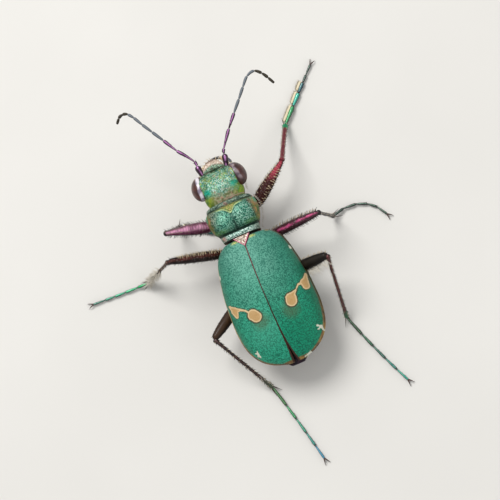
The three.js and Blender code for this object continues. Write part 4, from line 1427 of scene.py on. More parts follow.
def prothoraxLift(x, y, z):
    shape = prothorax
    front, rear = pronotumLines(x)
    depth, width = shape["groove"]
    furrows = 0.5 * bell(y - shape["collarFurrow"], width) + bell(y - rear, width)
    lobes = ease(y - front, -0.05, 0.18) * (1 - ease(y - rear, -0.26, -0.03))
    midline = bell(x, 0.06) * ease(y, -1.75, -1.6) * (1 - ease(y, -0.85, -0.7))
    seam = bell(z + 0.02, 0.035) * ease(abs(x), 0.9, 1.1)
    lift = shape["lobes"] * lobes - depth * furrows + shape["midline"] * midline
    lift = lift + shape["collar"] * bell(y + 2.4, 0.07) + shape["band"] * bell(y - rear - 0.19, 0.12)
    lift = lift + shape["rim"] * ease(y, -0.2, -0.14) + humps(x, y, shape["humps"])
    return lift * ease(z, -0.1, 0.45) + shape["seam"] * seam


def prothoraxFinish():
    bench = newFinish("pronotumCuticle")
    here, body = bench.here(), bench.onBody()
    x, y, z = body.split()

    # granular green, lighter on the tops of the two lobes as a painted highlight and darker towards their
    # edges as painted shade
    grain, pits = granular(bench, here, 0.08)
    blotch = here.noise(0.3 * mm, 3.0)
    speck = here.vector("ADD", (0.3, 0.1, 0.2)).noise(0.08 * mm, 1.0)
    litLobeTops = body.near((-0.72, -1.45, 1.3), 0.95) | body.near((0.68, -1.45, 1.3), 0.9)
    brownish = body.near((1.2, -1.75, 0.8), 0.8) * speck.step(0.42, 0.54)
    coarse = 0.3 + body.near((-0.72, -1.5, 1.2), 0.9) * 0.35
    green = bench.layers(
        blotch.ramp((0.4, "#24886c"), (0.5, "#45a082"), (0.6, "#70b898")),
        (1 - litLobeTops, blotch.mix("#0c4c3a", "#2f7c60")),
        # pale mint on the left lobe's top: painted highlight
        (body.near((0.75, -1.3, 1.2), 0.7) * 0.3, "#7cd0b4"),
        (brownish * 0.8, "#a19880"),
        (speck.step(0.5, 0.6) * coarse, "#c2e2d0"),
        (speck.fall(0.4, 0.48) * 0.9, "#083428"),
        (pits * 0.4, "#143f34"),
    )

    # how far behind the lobes' front edge and behind the rear furrow
    depth, width = prothorax["notch"]
    spread = x / (width * 1.3)
    peak = 1 / (spread * spread * 1.3 + 1).maths("POWER", 2)
    front = y - (prothorax["lobeFront"] + peak * depth)
    rear = y - (prothorax["rearFurrow"] - x * x * prothorax["furrowBow"])

    # olive sides, copper and turquoise towards the front corners
    sideward = (abs(x) + (blotch - 0.5) * 0.3).step(1.2, 1.5)
    shining = grain.step(0.42, 0.54)
    corners = body.near((-1.42, -1.95, 0.5), 0.4) | body.near((1.5, -1.9, 0.4), 0.4)
    bronze = body.near((-1.4, -1.9, 0.75), 0.45) * grain.step(0.4, 0.55)
    fold = abs(x).line(1.33, 0.05) * z.step(0.2, 0.4) * y.fall(-1.0, -0.7)
    sideLine = abs(x).line(1.48, 0.04) * shining * z.step(0.05, 0.2)

    # collar, the yellow-green notch between the lobes, gold before the rear furrow, and painted shade in the
    # midline groove and the furrows
    furrow = prothorax["collarFurrow"]
    collar = (y + (grain - 0.5) * 0.08).fall(furrow - 0.03, furrow + 0.03)
    mottled = speck.ramp((0.38, "#2a382e"), (0.47, "#40564a"), (0.54, "#5c7866"), (0.64, "#94a490"))
    notch = grain.ramp((0.4, "#2c4a1c"), (0.48, "#5a7228"), (0.54, "#8a9040"), (0.62, "#a8785c"))
    midlineShade = (x + (blotch - 0.5) * 0.1).line(0.0, 0.07) * front.step(0.05, 0.3)
    glint = grain.step(0.42, 0.56)
    goldRear = abs(rear + 0.2).fall(0.04, 0.22) * glint
    collarFurrowShade = y.line(furrow, 0.07) * (0.35 + abs(x).step(0.35, 1.0) * 0.6)

    # mottled silver band behind the rear furrow, rosy at its left end
    silver = bench.layers(
        speck.ramp((0.38, "#46685c"), (0.47, "#7ea294"), (0.54, "#a8c8ba"), (0.64, "#d8e6dc")),
        (abs(x).step(0.6, 1.2) * 0.65, grain.ramp((0.42, "#1f2c26"), (0.56, "#7f8c78"))),
        (body.near((1.15, -0.35, 0.8), 0.35) * 0.75,
         grain.ramp((0.42, "#94504c"), (0.56, "#d8a294"))),
    )
    colour = bench.layers(
        green,
        (sideward * 0.85, blotch.ramp((0.4, "#3f5a1c"), (0.5, "#6f7a2a"), (0.6, "#8f623a"))),
        (bronze * 0.7, "#a5735c"),
        (corners * shining, "#3fb89a"),
        (front.fall(-0.06, 0.04) * (1 - collar), notch),
        # pale yellow-green line along the lobes' front edge near the notch: painted highlight
        (front.line(0.05, 0.05) * abs(x).fall(0.6, 1.0) * 0.8, "#c4d48c"),
        # dark line down the midline groove: painted shade
        (midlineShade * y.step(-1.75, -0.9) * 0.75, "#0a3226"),
        (goldRear * abs(x).step(0.3, 0.9) * 0.6, "#5c8c34"),
        (fold * 0.35, "#16382c"),
        (sideLine * 0.7, blotch.ramp((0.4, "#a05c34"), (0.6, "#c89a5c"))),
        (collar, mottled),
        (body.near((0.12, -2.34, 1.0), 0.2) * glint * 0.7, "#a86a62"),
        (rear.step(0.03, 0.09), silver),
        # dark lines in the rear and collar furrows: painted shade
        ((abs(rear + 0.02).fall(0.03, 0.1) | collarFurrowShade) * 0.9, "#0c2a20"),
        # dark dimple before the rear furrow: painted shade
        (body.near((0, -0.7, 1.1), 0.24) * 0.7, "#0a3226"),
        ((y + (grain - 0.5) * 0.04).step(-0.22, -0.17) * 0.9,
         grain.ramp((0.4, "#1c1410"), (0.6, "#4a3c28"))),
        (z.fall(-0.15, 0.2), blotch.ramp((0.4, "#5a2a24"), (0.5, "#8a4c34"), (0.6, "#3f7d66"))),
    )
    return finishWith(bench, {
        "Base Color": colour, "Metallic": 0.35, "Roughness": 0.36 + grain * 0.22,
        "Normal": ((1 - pits) * 0.6 + grain * 0.6).bump(0.018 * mm), "Specular IOR Level": 0.4,
    })


def makeProthorax():
    shape = prothorax
    turns = shape["round"] * (1 - np.cos(np.linspace(0, np.pi / 2, 9)))
    body = np.linspace(shape["front"] + shape["round"], shape["rear"] - shape["round"], shape["rows"])
    ys = np.concatenate([shape["front"] + turns[:-1], body, shape["rear"] - turns[-2::-1]])

    def relief(x, y, z):
        front, rear = pronotumLines(x)
        furrows = bell(y - front, 0.06) + bell(y - rear, 0.06)
        return np.clip(1 - furrows, 0.2, 1) * ease(shape["rear"] - y, 0.02, 0.1)

    finish = prothoraxFinish()
    return loftOf("prothorax", ys, prothoraxRing, prothoraxLift, finish, {"relief": relief}, shape["relief"])


dress(makeProthorax(), "head_green", "prothorax")
print("prothorax ready")

# Thorax and abdomen under the wing cases

trunk = {
    "room": (7.6, 2.74, 1.75),  # length, half width and height under the wing cases
    "wall": 0.5,
    "gap": 0.06,
    "neck": (-0.09, 1.08, 0.72),        # front end, half width and top
    "thorax": (0.14, 3.55),
    "thoraxDepth": profile([(0, 0.72), (0.15, 1.05), (0.45, 1.28), (0.85, 1.32), (1, 1.3)]),
    "sideShare": 0.97,
    "seams": 0.05,              # depths
    "sternum": 0.04,
    "humps": [(0.04, 1.1, 0.5, 2.4, 0.6)],
    "abdomen": (3.61, 8.3),
    "abdomenDepth": profile([(0, 1.26), (0.4, 1.14), (0.7, 0.92), (0.9, 0.64), (1, 0.42)]),
    "abdomenWidth": profile([(0, 2.3), (0.35, 2.25), (0.65, 1.9), (0.85, 1.2), (0.95, 0.68), (1, 0.4)]),
    "segments": 6,
    "segmentStep": 0.05,
    "lastUnder": 7.25,
    "rows": 150,
    "columns": 180,
    "relief": (0.11, 0.008, 0.5, 0.012),
}


def roomUnderElytra(y):
    length, halfWidth, height = trunk["room"]
    u = min(max(y / length, 0), 1)
    width = elytra["halfWidth"](u) * (1 - trunk["wall"] / halfWidth) - trunk["gap"]
    return width, elytra["height"](u) * (1 - trunk["wall"] / height) - trunk["gap"]


def thoraxRing(y):
    start, end = trunk["thorax"]
    front, width, top = trunk["neck"]
    if y < start:
        share = (y - front) / (start - front)
        return section(y, width, top, -trunk["thoraxDepth"](0) - 0.1 * share, 0.85, trunk["columns"])
    share = (y - start) / (end - start)
    width, top = roomUnderElytra(y)
    wide = width * trunk["sideShare"] * (0.55 + 0.45 * math.sqrt(ease(share, -0.1, 0.12)))
    return section(y, wide, top - trunk["gap"], -trunk["thoraxDepth"](share), 0.82, trunk["columns"])


def thoraxLift(x, y, z):
    slant = abs(z)
    seams = bell(y - 0.42 - 0.25 * slant, 0.05) + bell(y - 1.75 + 0.35 * slant, 0.05) + bell(y - 3.25, 0.06)
    sternum = bell(x, 0.06) * ease(y, 0.8, 1.2)
    lift = humps(x, y, trunk["humps"]) - trunk["seams"] * seams - trunk["sternum"] * sternum
    return lift * (1 - ease(z, -0.2, 0.1))


def abdomenRing(y):
    start, end = trunk["abdomen"]
    share = (y - start) / (end - start)
    underTip = y > trunk["lastUnder"]
    width, top = roomUnderElytra(y)
    top = -0.06 if underTip else min(top, 0.9 * top + 0.02)
    width = trunk["abdomenWidth"](share) if underTip else min(trunk["abdomenWidth"](share), width)
    within = share * trunk["segments"] % 1
    step = trunk["segmentStep"] * (0.6 - within) if share < 0.999 else 0
    return section(y, width, top, -trunk["abdomenDepth"](share) - step, 0.82, trunk["columns"])


def trunkFinish(name, greenShare):
    bench = newFinish(name)
    x, y, z = bench.onBody().split()
    grain, pits = granular(bench, bench.here(), 0.1)
    blotch = bench.here().noise(0.6 * mm, 3.0)
    blue = (abs(x) * 0.5 - z * 0.2 + (blotch - 0.5)).step(0.5, 1.2)
    top = z.step(0.1, 0.5)
    colour = bench.layers(
        blotch.ramp((0.32, "#6b2c22"), (0.48, "#9a5436"), (0.58, "#4f7f52"), (0.7, "#1f7a74")),
        (blue * greenShare, grain.ramp((0.4, "#0d5a5c"), (0.6, "#2f9a80"))),
        (pits * 0.5, "#1c1a1c"),
        (top, "#191214"),
        (y.step(7.5, 7.9) * 0.9, "#241f30"),
    )
    return finishWith(bench, {
        "Base Color": colour, "Metallic": 0.65 - top * 0.6, "Roughness": 0.32 + grain * 0.2,
        "Normal": ((1 - pits) + grain * 0.5).bump(0.015 * mm),
    })


def plainLift(x, y, z):
    return np.zeros_like(x)


def everywhere(x, y, z):
    return np.ones_like(x)


def makeTrunk():
    for name, start, end, ringAt, liftAt, greenShare in (
        ("thorax", trunk["neck"][0], trunk["thorax"][1], thoraxRing, thoraxLift, 0.8),
        ("abdomen", *trunk["abdomen"], abdomenRing, plainLift, 0.6),
    ):
        ys = np.linspace(start, end, trunk["rows"])
        finish = trunkFinish(name + "Cuticle", greenShare)
        piece = loftOf(name, ys, ringAt, liftAt, finish, {"relief": everywhere}, trunk["relief"], True)
        dress(piece, "underside", name)


makeTrunk()
print("trunk ready")

# Feelers

antennae = {
    "root": (0.74, -4.42, 0),
    "left": [
        (0.86, -5.02, 0.14), (0.87, -5.42, 0.22), (0.92, -5.62, 0.27), (1.26, -6.14, 0.42),
        (1.64, -6.64, 0.54), (2.13, -7.52, 0.68), (2.58, -8.3, 0.77), (2.95, -8.95, 0.79),
        (3.27, -9.55, 0.74), (3.62, -9.98, 0.62), (4.05, -10.02, 0.45), (4.42, -9.7, 0.25),
    ],
    "right": [
        (-0.9, -5.02, 0.14), (-0.97, -5.4, 0.22), (-1.08, -5.62, 0.27), (-1.48, -6.12, 0.42),
        (-1.88, -6.6, 0.54), (-2.54, -7.31, 0.69), (-3.18, -7.99, 0.79), (-3.71, -8.59, 0.8),
        (-4.15, -9.05, 0.76), (-4.66, -9.2, 0.66), (-5.1, -8.82, 0.52), (-5.5, -8.08, 0.26),
    ],
    "partSpans": 3,             # spans in each of the curve's four parts, and segments' ends in such parts
    "cuts": [0, 0.74, 1, 1.55, 2, 2.37, 2.7, 3, 3.28, 3.52, 3.75, 4],
    "girths": [
        (0.15, 0.195), (0.085, 0.105), (0.072, 0.112), (0.07, 0.112), (0.082, 0.098), (0.08, 0.094),
        (0.078, 0.092), (0.078, 0.092), (0.084, 0.1), (0.088, 0.102), (0.088, 0.08),
    ],
    "lower": 4,                 # segments in the shining lower part, and in all before the brown end
    "grey": 8,
    "hairs": (9, 0.09, 0.8, 0.1, 0.95),     # on a lower segment: how many, reach, slant, from and to
}


def antennaParts(name):
    shape = antennae
    x, y, z = shape["root"]
    points = [(x * sides[name], y, z), *shape[name]]
    run = distancesAlong(curveThrough(points))
    parts = run[::shape["partSpans"] * curveSteps] / run[-1]
    cuts = np.interp(shape["cuts"], range(len(parts)), parts)
    return onFrame(segmented(points, cuts, shape["girths"], 0.3, 30))


# Metal colours of a limb: dark flanks as painted shade below and at the sides, middle tone, and crown as a
# painted highlight along the top, changed by the special settings
limbTones = {
    "metallic": 0.55,
    "roughness": 0.3,
    "highlightAt": (0.45, 0.9),     # where the crown's painted highlight begins and is full, -1 to 1
    "highlightFrom": None,          # shares of the way along, where the crown's painted highlight fades in
    "stripes": 0,               # dark stripes across the limb, and their depth
    "stripeDepth": 0.6,
    "coat": 0.35,
    "gloss": 0.3,
    "end": None,                # shares of the way along and the colour past them
    "speckle": 0.3,
}


def limbFinish(name, shadedFlank, middle, crown, **special):
    tones = {**limbTones, **special}
    bench = newFinish(name)
    here = bench.here()
    grain = here.noise(0.07 * mm, 3.0, 0.6)
    blotch = here.noise(0.4 * mm, 2.0)
    up, along = bench.attribute("crown"), bench.attribute("along")
    # darker below and at the sides, lighter towards the top: painted shade; the crown colour after it is a
    # painted highlight
    colour = ((up + (grain - 0.5) * 0.8).step(-0.1, 0.6)).mix(shadedFlank, middle)
    lit = (up + (blotch - 0.5) * 0.4).step(*tones["highlightAt"])
    if tones["highlightFrom"]:
        lit = lit * (along + (blotch - 0.5) * 0.3).step(*tones["highlightFrom"])
    colour = lit.mix(colour, crown)
    if tones["end"]:
        low, high, endColour = tones["end"]
        colour = ((along + (blotch - 0.5) * 0.2).step(low, high)).mix(colour, endColour)
    colour = (grain.step(0.56, 0.7) * tones["speckle"]).mix(colour, "#e6d8d8")
    if tones["stripes"]:
        wave = (along * tones["stripes"] * 2 * math.pi + blotch * 8 + grain * 3).maths("SINE")
        colour = (wave.step(0.0, 0.7) * tones["stripeDepth"]).mix(colour, shadedFlank)
    return finishWith(bench, {
        "Base Color": (grain.fall(0.32, 0.42) * 0.6).mix(colour, shadedFlank),
        "Metallic": tones["metallic"], "Roughness": tones["roughness"] + grain * 0.15,
        "Normal": grain.bump(0.008 * mm), "Coat Weight": tones["coat"], "Coat Roughness": 0.12,
        "Specular IOR Level": tones["gloss"],
    })


# A colour for each part of a foot, with dark joints, dark sides as painted shade and a pale line along the
# top as a painted highlight
def footFinish(name, colours, shares):
    bench = newFinish(name)
    grain = bench.here().noise(0.07 * mm, 3.0, 0.6)
    up, along = bench.attribute("crown"), bench.attribute("along")
    blend, joint = 0.012, 0.022         # shares of the way over which a colour and a joint fade
    stops = []
    for colour, start, end in zip(colours, shares, shares[1:]):
        stops += [(start + blend, colour), (end - blend, colour)]
    tone = along.ramp(*stops)
    dark, paintedHighlight = bench.mix(0.85, tone, "#080c0c"), bench.mix(0.4, tone, "#c0f4d0")
    # sides darkened, top in the part's colour, a pale line on the crown: painted shade and painted highlight
    colour = bench.layers(
        dark,
        ((up + (grain - 0.5) * 0.4).step(0.5, 0.88), tone),
        ((up + (grain - 0.5) * 0.2).step(0.94, 1.0) * 0.9, paintedHighlight),
        *[(along.line(cut, joint) * 0.85, "#0c1412") for cut in shares[1:-1]],
    )
    return finishWith(bench, {
        "Base Color": colour, "Metallic": 0.3, "Roughness": 0.3 + grain * 0.15,
        "Normal": grain.bump(0.008 * mm), "Coat Weight": 0.3, "Coat Roughness": 0.12,
    })


feelerTones = {"metallic": 0.2, "roughness": 0.25, "highlightAt": (0.86, 1.0), "speckle": 0.05}
# feelers: dark flanks as painted shade, a narrow crown as a painted highlight
violet = limbFinish("violetFeeler", "#080407", "#2c0e24", "#c080bc", **feelerTones)
greyTones = {**feelerTones, "roughness": 0.5, "coat": 0.0, "highlightAt": (0.4, 1.0)}
greyFeeler = limbFinish("greyFeeler", "#151517", "#33373b", "#6e757b", **greyTones)
brownFeeler = limbFinish("brownFeeler", "#0b0908", "#1e1a14", "#3c362a", **greyTones)
antennaRoutes = {}
for name in sides:
    parts = antennaParts(name)
    antennaRoutes[name] = parts
    lower, upper = parts[:antennae["lower"]], parts[antennae["lower"]:antennae["grey"]]
    node = "antenna_" + name
    dress(makeLimbs(node + "_lower", lower, violet, 18), "antenna_base", node + "_base", node + "_shaft")
    piece = makeLimbs(node + "_upper", upper, greyFeeler, 14)
    dress(piece, "antenna_tip", node + "_flagellum", node + "_tip")
    dress(makeLimbs(node + "_end", parts[antennae["grey"]:], brownFeeler, 14), "antenna_tip")
print("feelers ready")

# Legs

slenderTibia = profile([
    (0, 0.12), (0.03, 0.17), (0.1, 0.11), (0.5, 0.1), (0.85, 0.115), (0.96, 0.15), (1, 0.12),
])
slenderTarsus = [(0.07, 0.095), (0.062, 0.088), (0.058, 0.083), (0.055, 0.08), (0.05, 0.072)]
legs = {
    "fore": {
        "coxa": [(0.46, -1.44, -0.74), (1.03, -1.52, -1.06)], "femur": 3.65, "tibia": 3.4, "tarsus": 4.2,
        "claw": 0.42, "tarsomeres": [0.31, 0.22, 0.17, 0.12, 0.18],
        "femurGirth": profile([
            (0, 0.15), (0.08, 0.26), (0.22, 0.36), (0.38, 0.385),
            (0.6, 0.33), (0.8, 0.23), (0.93, 0.16), (1, 0.15),
        ]),
        "tibiaGirth": profile([
            (0, 0.13), (0.03, 0.18), (0.1, 0.15), (0.5, 0.138), (0.85, 0.15), (0.96, 0.19), (1, 0.15),
        ]),
        "tarsusGirths": [(0.08, 0.14), (0.09, 0.14), (0.09, 0.13), (0.06, 0.085), (0.045, 0.075)],
    },
    "middle": {
        "coxa": [(0.46, 0.3, -0.98), (1.13, 0.28, -1.18)], "femur": 4.05, "tibia": 3.4, "tarsus": 3.75,
        "claw": 0.42, "tarsomeres": [0.21, 0.22, 0.19, 0.17, 0.21],
        "femurGirth": profile([
            (0, 0.15), (0.08, 0.23), (0.25, 0.3), (0.5, 0.3), (0.75, 0.26), (0.92, 0.2), (1, 0.18),
        ]),
        "tibiaGirth": slenderTibia,
        "tarsusGirths": slenderTarsus,
    },
    "hind": {
        "coxa": [(0.44, 2.68, -1.08), (1.05, 2.8, -1.26)], "femur": 3.9, "tibia": 4.9, "tarsus": 5.35,
        "claw": 0.45, "tarsomeres": [0.25, 0.19, 0.2, 0.18, 0.18],
        "femurGirth": profile([
            (0, 0.16), (0.08, 0.26), (0.25, 0.345), (0.5, 0.35), (0.75, 0.325), (0.92, 0.25), (1, 0.19),
        ]),
        "tibiaGirth": slenderTibia,
        "tarsusGirths": slenderTarsus,
    },
}
legPoses = {                # femur's bearing and rise, tibia's bearing, bearings of the tarsus's ends
    "fore_left": ((-9.5, 25), -136, (148, 156)),
    "fore_right": ((-143.7, 3.5), -113, (-134, -135)),
    "middle_left": ((-11, 21), 3, (-2, -3)),
    "middle_right": ((176.5, 26), 189, (196, 120)),
    "hind_left": ((35.5, 15.5), 118.5, (104, 102)),
    "hind_right": ((173.5, 34), 83, (109, 114)),
}
dullTones = {"metallic": 0.0, "speckle": 0.0, "gloss": 0.15}
legLooks = {                # flank as painted shade, middle, and crown as painted highlight of femur and tibia, special settings, tarsus parts
    "fore_left": {
        "femur": ("#1a0a12", "#6a2a4a", "#eca8c8"),
        "femurTones": {
            "stripes": 22, "stripeDepth": 0.4, "roughness": 0.22, "metallic": 0.4, "highlightAt": (0.72, 0.98),
        },
        "tibia": ("#1e1412", "#5c4038", "#a58468"),
        "tibiaTones": {"highlightAt": (0.8, 1.0)},
        "tarsus": ("#1f7a58", "#1c968a", "#145460", "#10262c", "#101416"),
    },
    "fore_right": {
        "femur": ("#0e0605", "#3c1a16", "#a8404e"),
        "femurTones": {
            "stripes": 24, "stripeDepth": 0.55, "highlightFrom": (0.5, 0.85), "highlightAt": (0.5, 0.95),
            "metallic": 0.2, "coat": 0.0, "roughness": 0.5, "gloss": 0.1,
        },
        "tibia": ("#1c0608", "#70262e", "#f0a09c"),
        "tibiaTones": {
            "end": (0.84, 0.9, "#1f8a5c"), "highlightAt": (0.82, 1.0), "speckle": 0.0, "roughness": 0.25,
        },
        "tarsus": ("#188a4c", "#14a08c", "#124a5c", "#0e1c20", "#0c1012"),
    },
    "middle_left": {
        "femur": ("#070403", "#1e100c", "#54281f"),
        "femurTones": {
            "stripes": 22, "stripeDepth": 0.5, "metallic": 0.2, "highlightAt": (0.75, 1.0), "coat": 0.1,
            "roughness": 0.4, "gloss": 0.15,
        },
        "tibia": ("#180e0b", "#3c241c", "#6b4c3c"),
        "tibiaTones": {"end": (0.75, 0.95, "#5c5c48"), "speckle": 0.1},
        "tarsus": ("#189a5a", "#18a46c", "#189a70", "#168668", "#14584c"),
    },
    "middle_right": {
        "femur": ("#100608", "#3c1620", "#c84c80"),
        "femurTones": {
            "highlightAt": (0.82, 1.0), "highlightFrom": (0.08, 0.25), "roughness": 0.22, "metallic": 0.35,
        },
        "tibia": ("#120a0b", "#2c1a1a", "#5c3438"),
        "tibiaTones": {"speckle": 0.1},
        "tarsus": ("#0a1412", "#0a1212", "#0a1010", "#080c0c", "#080a0c"),
    },
    "hind_left": {
        "femur": ("#080403", "#1e120b", "#3c291a"),
        "femurTones": {**dullTones, "highlightAt": (0.4, 1.0), "roughness": 0.45, "coat": 0.1},
        "tibia": ("#0a0606", "#1f1110", "#5a3a36"),
        "tibiaTones": {
            "metallic": 0.2, "speckle": 0.1, "highlightAt": (0.8, 1.0), "end": (0.78, 0.95, "#3c4632"),
        },
        "tarsus": ("#3c6a30", "#2a8a50", "#1c8a6c", "#1c8078", "#1c78a0"),
    },
    "hind_right": {
        "femur": ("#060404", "#120d0a", "#241c14"),
        "femurTones": {**dullTones, "highlightAt": (0.6, 1.0), "roughness": 0.4, "coat": 0.12},
        "tibia": ("#0f0707", "#341613", "#642c2c"),
        "tibiaTones": {"end": (0.86, 0.97, "#2c5c40"), "metallic": 0.3, "speckle": 0.1},
        "tarsus": ("#223818", "#124a30", "#104a44", "#127068", "#12907c"),
    },
}
legForm = {
    "ankle": 0.32,              # heights over the floor, of the ankle and of the ends of the foot's parts
    "foot": [0.19, 0.16, 0.15, 0.14, 0.16],
    "trochanter": (-0.12, 0.1, 0.32),   # along the femur
    "femurFrom": 0.16,
    "tibiaFrom": 0.02,
    "footBow": 0.015,
    "femurBow": 0.06,
    "tibiaBow": 0.05,
    "coxaGirth": profile([(0, 0.3), (0.4, 0.42), (0.8, 0.38), (1, 0.24)]),
    "trochanterGirth": profile([(0, 0.1), (0.5, 0.19), (1, 0.12)]),
    "spurLength": 0.62,
    "spurTurns": (-32, 34),
    "spurDroop": 0.5,
    "spurGirth": profile([(0, 0.035), (0.3, 0.03), (1, 0.006)]),
    "clawSpread": 24,
    "clawGirth": profile([(0, 0.045), (0.4, 0.034), (1, 0.008)]),
}
upwards = np.array([0.0, 0.0, 1.0])


def legPlaces(name):
    kind, side = name.split("_")
    leg, (femurWay, tibiaBearing, tarsusBearings) = legs[kind], legPoses[name]
    inner, outer = [fromBody([x * sides[side], y, z]) for x, y, z in leg["coxa"]]
    knee = outer + direction(*femurWay) * leg["femur"]
    fall = math.degrees(math.asin((knee[2] - legForm["ankle"]) / leg["tibia"]))
    ankle = knee + direction(tibiaBearing, -fall) * leg["tibia"]
    joints = [ankle]
    shares = np.cumsum([0, *leg["tarsomeres"]])
    first, last = tarsusBearings
    for i, share in enumerate(leg["tarsomeres"]):
        bearing = first + (last - first) * i / (len(leg["tarsomeres"]) - 1)
        step = direction(bearing) * leg["tarsus"] * share
        joints.append(joints[-1] * (1, 1, 0) + step + upwards * legForm["foot"][i])
    return inner, outer, knee, ankle, joints, shares


def bowed(start, end, bow):
    return [start, (start + end) / 2 + upwards * bow, end]


def bearingOf(start, end):      # in degrees, seen from above
    x, y, _ = end - start
    return math.degrees(math.atan2(y, x))


def spurRoutes(knee, ankle):
    bearing = bearingOf(knee, ankle)
    routes = []
    for turn in legForm["spurTurns"]:
        root = ankle + unit(knee - ankle) * 0.06 + direction(bearing + math.copysign(90, turn)) * 0.07
        way = unit(direction(bearing + turn * 0.6) - upwards * legForm["spurDroop"])
        way = way * min(legForm["spurLength"], (root[2] - 0.03) / max(0.05, -way[2]))
        tip = root + way + direction(bearing) * 0.03
        routes.append(limbRoute(bowed(root, tip, 0.03), legForm["spurGirth"], 18, ends=0.3))
    return routes


def clawRoutes(foot, before, length):
    bearing = bearingOf(before, foot)
    root = foot - direction(bearing) * 0.03
    routes = []
    for turn in (-legForm["clawSpread"], legForm["clawSpread"]):
        out = direction(bearing + turn) * length
        tip = (root + out * 0.98) * (1, 1, 0) + upwards * 0.012
        points = [root, root + out * 0.45 + upwards * 0.02, root + out * 0.85 - upwards * 0.05, tip]
        routes.append(limbRoute(points, legForm["clawGirth"], 22, ends=0.3))
    return routes


onFloor = 0.012                 # lowest a hair's tip may come, in millimetres


# Hairs on a limb: roots along a route at a turn round it, 0 to its left and 90 at its crown; they lean
# from upright by the slant, towards the tip or, with a twist, round the limb
def hairsOnLimb(coat, limb, cell, places, turns, reach, slant, twist):
    route, girths = limb[:2]
    run = distancesAlong(route)
    for share, turn in zip(places, turns):
        at = share * run[-1]
        point = pointsAt(route, run, at)
        i = int(np.clip(np.searchsorted(run, at), 1, len(route) - 1))
        ahead = unit(route[i] - route[i - 1])
        left = unit(np.cross(upwards, ahead))
        crown = np.cross(ahead, left)
        angle = math.radians(turn)
        out = left * math.cos(angle) + crown * math.sin(angle)
        girth = float(np.interp(at, run, girths))
        tilt = slant + random.normal(0, 0.12)
        around = np.cross(ahead, out)
        way = ahead * math.cos(twist) + around * math.sin(twist)
        lie = unit(out * math.cos(tilt) + way * math.sin(tilt))
        length = reach * random.uniform(0.75, 1.15)
        root = point + out * girth * 0.94
        if lie[2] < 0:
            length = min(length, (root[2] - onFloor) / -lie[2])
        if length > 0.3 * reach:
            coat.add(root, lie, ahead, length, cell(share, turn % 360 / 360))


def bristleRow(coat, limb, cell, turn, spacing, reach, slant, start=0.05, end=0.97, twist=0, spread=5):
    length = np.linalg.norm(np.diff(limb[0], axis=0), axis=1).sum()
    count = max(2, int(length * (end - start) / spacing))
    places = np.linspace(start, end, count) + random.normal(0, 0.2 / count, count)
    turns = turn + random.normal(0, spread, count)
    hairsOnLimb(coat, limb, cell, np.clip(places, 0.01, 0.99), turns, reach, slant, math.radians(twist))


def scatteredHairs(coat, limb, cell, count, reach, slant, start=0.03, end=0.97, low=0, high=360):
    places = random.uniform(start, end, count)
    turns = random.uniform(low, high, count)
    hairsOnLimb(coat, limb, cell, places, turns, reach, slant, 0)


coats = {"dark": darkCoat, "pale": paleCoat, "long": longCoat}
hairRows = {                    # coat, turns, spacing, reach, slant, from and to along the limb, twist
    "femur": [
        ("dark", (0, 180), 0.17, 0.17, 0.7),
        ("pale", (35, 145), 0.2, 0.14, 1.0),
        ("dark", (230, 310), 0.24, 0.18, 0.8),
    ],
    "tibia": [
        ("dark", (0, 180), 0.2, 0.15, 0.85, 0.05, 0.96),
        ("pale", (45, 135), 0.32, 0.14, 1.05, 0.05, 0.96),
        ("dark", (90,), 0.32, 0.13, 1.1, 0.05, 0.96),
        ("dark", (270,), 0.26, 0.16, 0.85, 0.05, 0.96),
    ],
    "tarsus": [
        ("dark", (345, 195), 0.2, 0.09, 0.85, 0.3, 0.97),
        ("dark", (245, 295), 0.17, 0.09, 0.75, 0.1, 0.95),
    ],
}
smoothFemur = [
    ("dark", (0, 180), 0.3, 0.12, 0.9),
    ("dark", (230, 310), 0.3, 0.14, 0.9),
]
combedFemur = [
    ("dark", (4, 176), 0.125, 0.23, 0.4, 0.04, 0.97),
    ("dark", (235, 305), 0.24, 0.18, 0.8),
]
edgedFemur = [row for row in hairRows["femur"] if row[0] == "dark"]
acrossFemur = [
    ("pale", (66,), 0.2, 0.2, 1.2, 0.06, 0.85, -90),
    ("pale", (40,), 0.2, 0.2, 1.1, 0.06, 0.85, -90),
    ("pale", (114,), 0.17, 0.22, 1.15, 0.06, 0.85, 90),
    ("pale", (140,), 0.17, 0.2, 1.1, 0.06, 0.85, 90),
]
ownRows = {                     # on the femora of single legs
    "fore_right": [*edgedFemur, *acrossFemur, ("pale", (2,), 0.16, 0.18, 0.7, 0.2, 0.97)],
    "fore_left": [*combedFemur, ("pale", (60, 120), 0.15, 0.12, 1.1)],
    "middle_left": [*edgedFemur, *acrossFemur[2:], ("pale", (100,), 0.15, 0.24, 1.15, 0.06, 0.8, 90)],
    "middle_right": [*combedFemur, ("pale", (20,), 0.15, 0.22, 0.5, 0.05, 0.95)],
    "hind_left": smoothFemur,
    "hind_right": [
        *smoothFemur,
        ("long", (184,), 0.1, 0.66, 0.3, 0.36, 0.93),
        ("long", (194,), 0.1, 0.6, 0.3, 0.36, 0.93),
        ("long", (10,), 0.13, 0.24, 0.45, 0.2),
        ("pale", (26,), 0.15, 0.22, 0.5, 0.2),
    ],
}
tufts = {                       # long hairs on the tibiae: how many, reach, slant, from and to, between turns
    "middle_left": (190, 0.44, 0.7, 0.4, 0.97, -40, 220),
    "middle_right": (40, 0.22, 0.9, 0.55, 0.97, -40, 220),
    "hind_left": (22, 0.26, 0.8, 0.6, 0.97, -40, 220),
    "fore_right": (30, 0.18, 0.8, 0.4, 0.97, -30, 30),
    "fore_left": (30, 0.16, 0.9, 0.1, 0.95, 0, 360),
    "hind_right": (14, 0.2, 0.9, 0.05, 0.3, 0, 360),
}
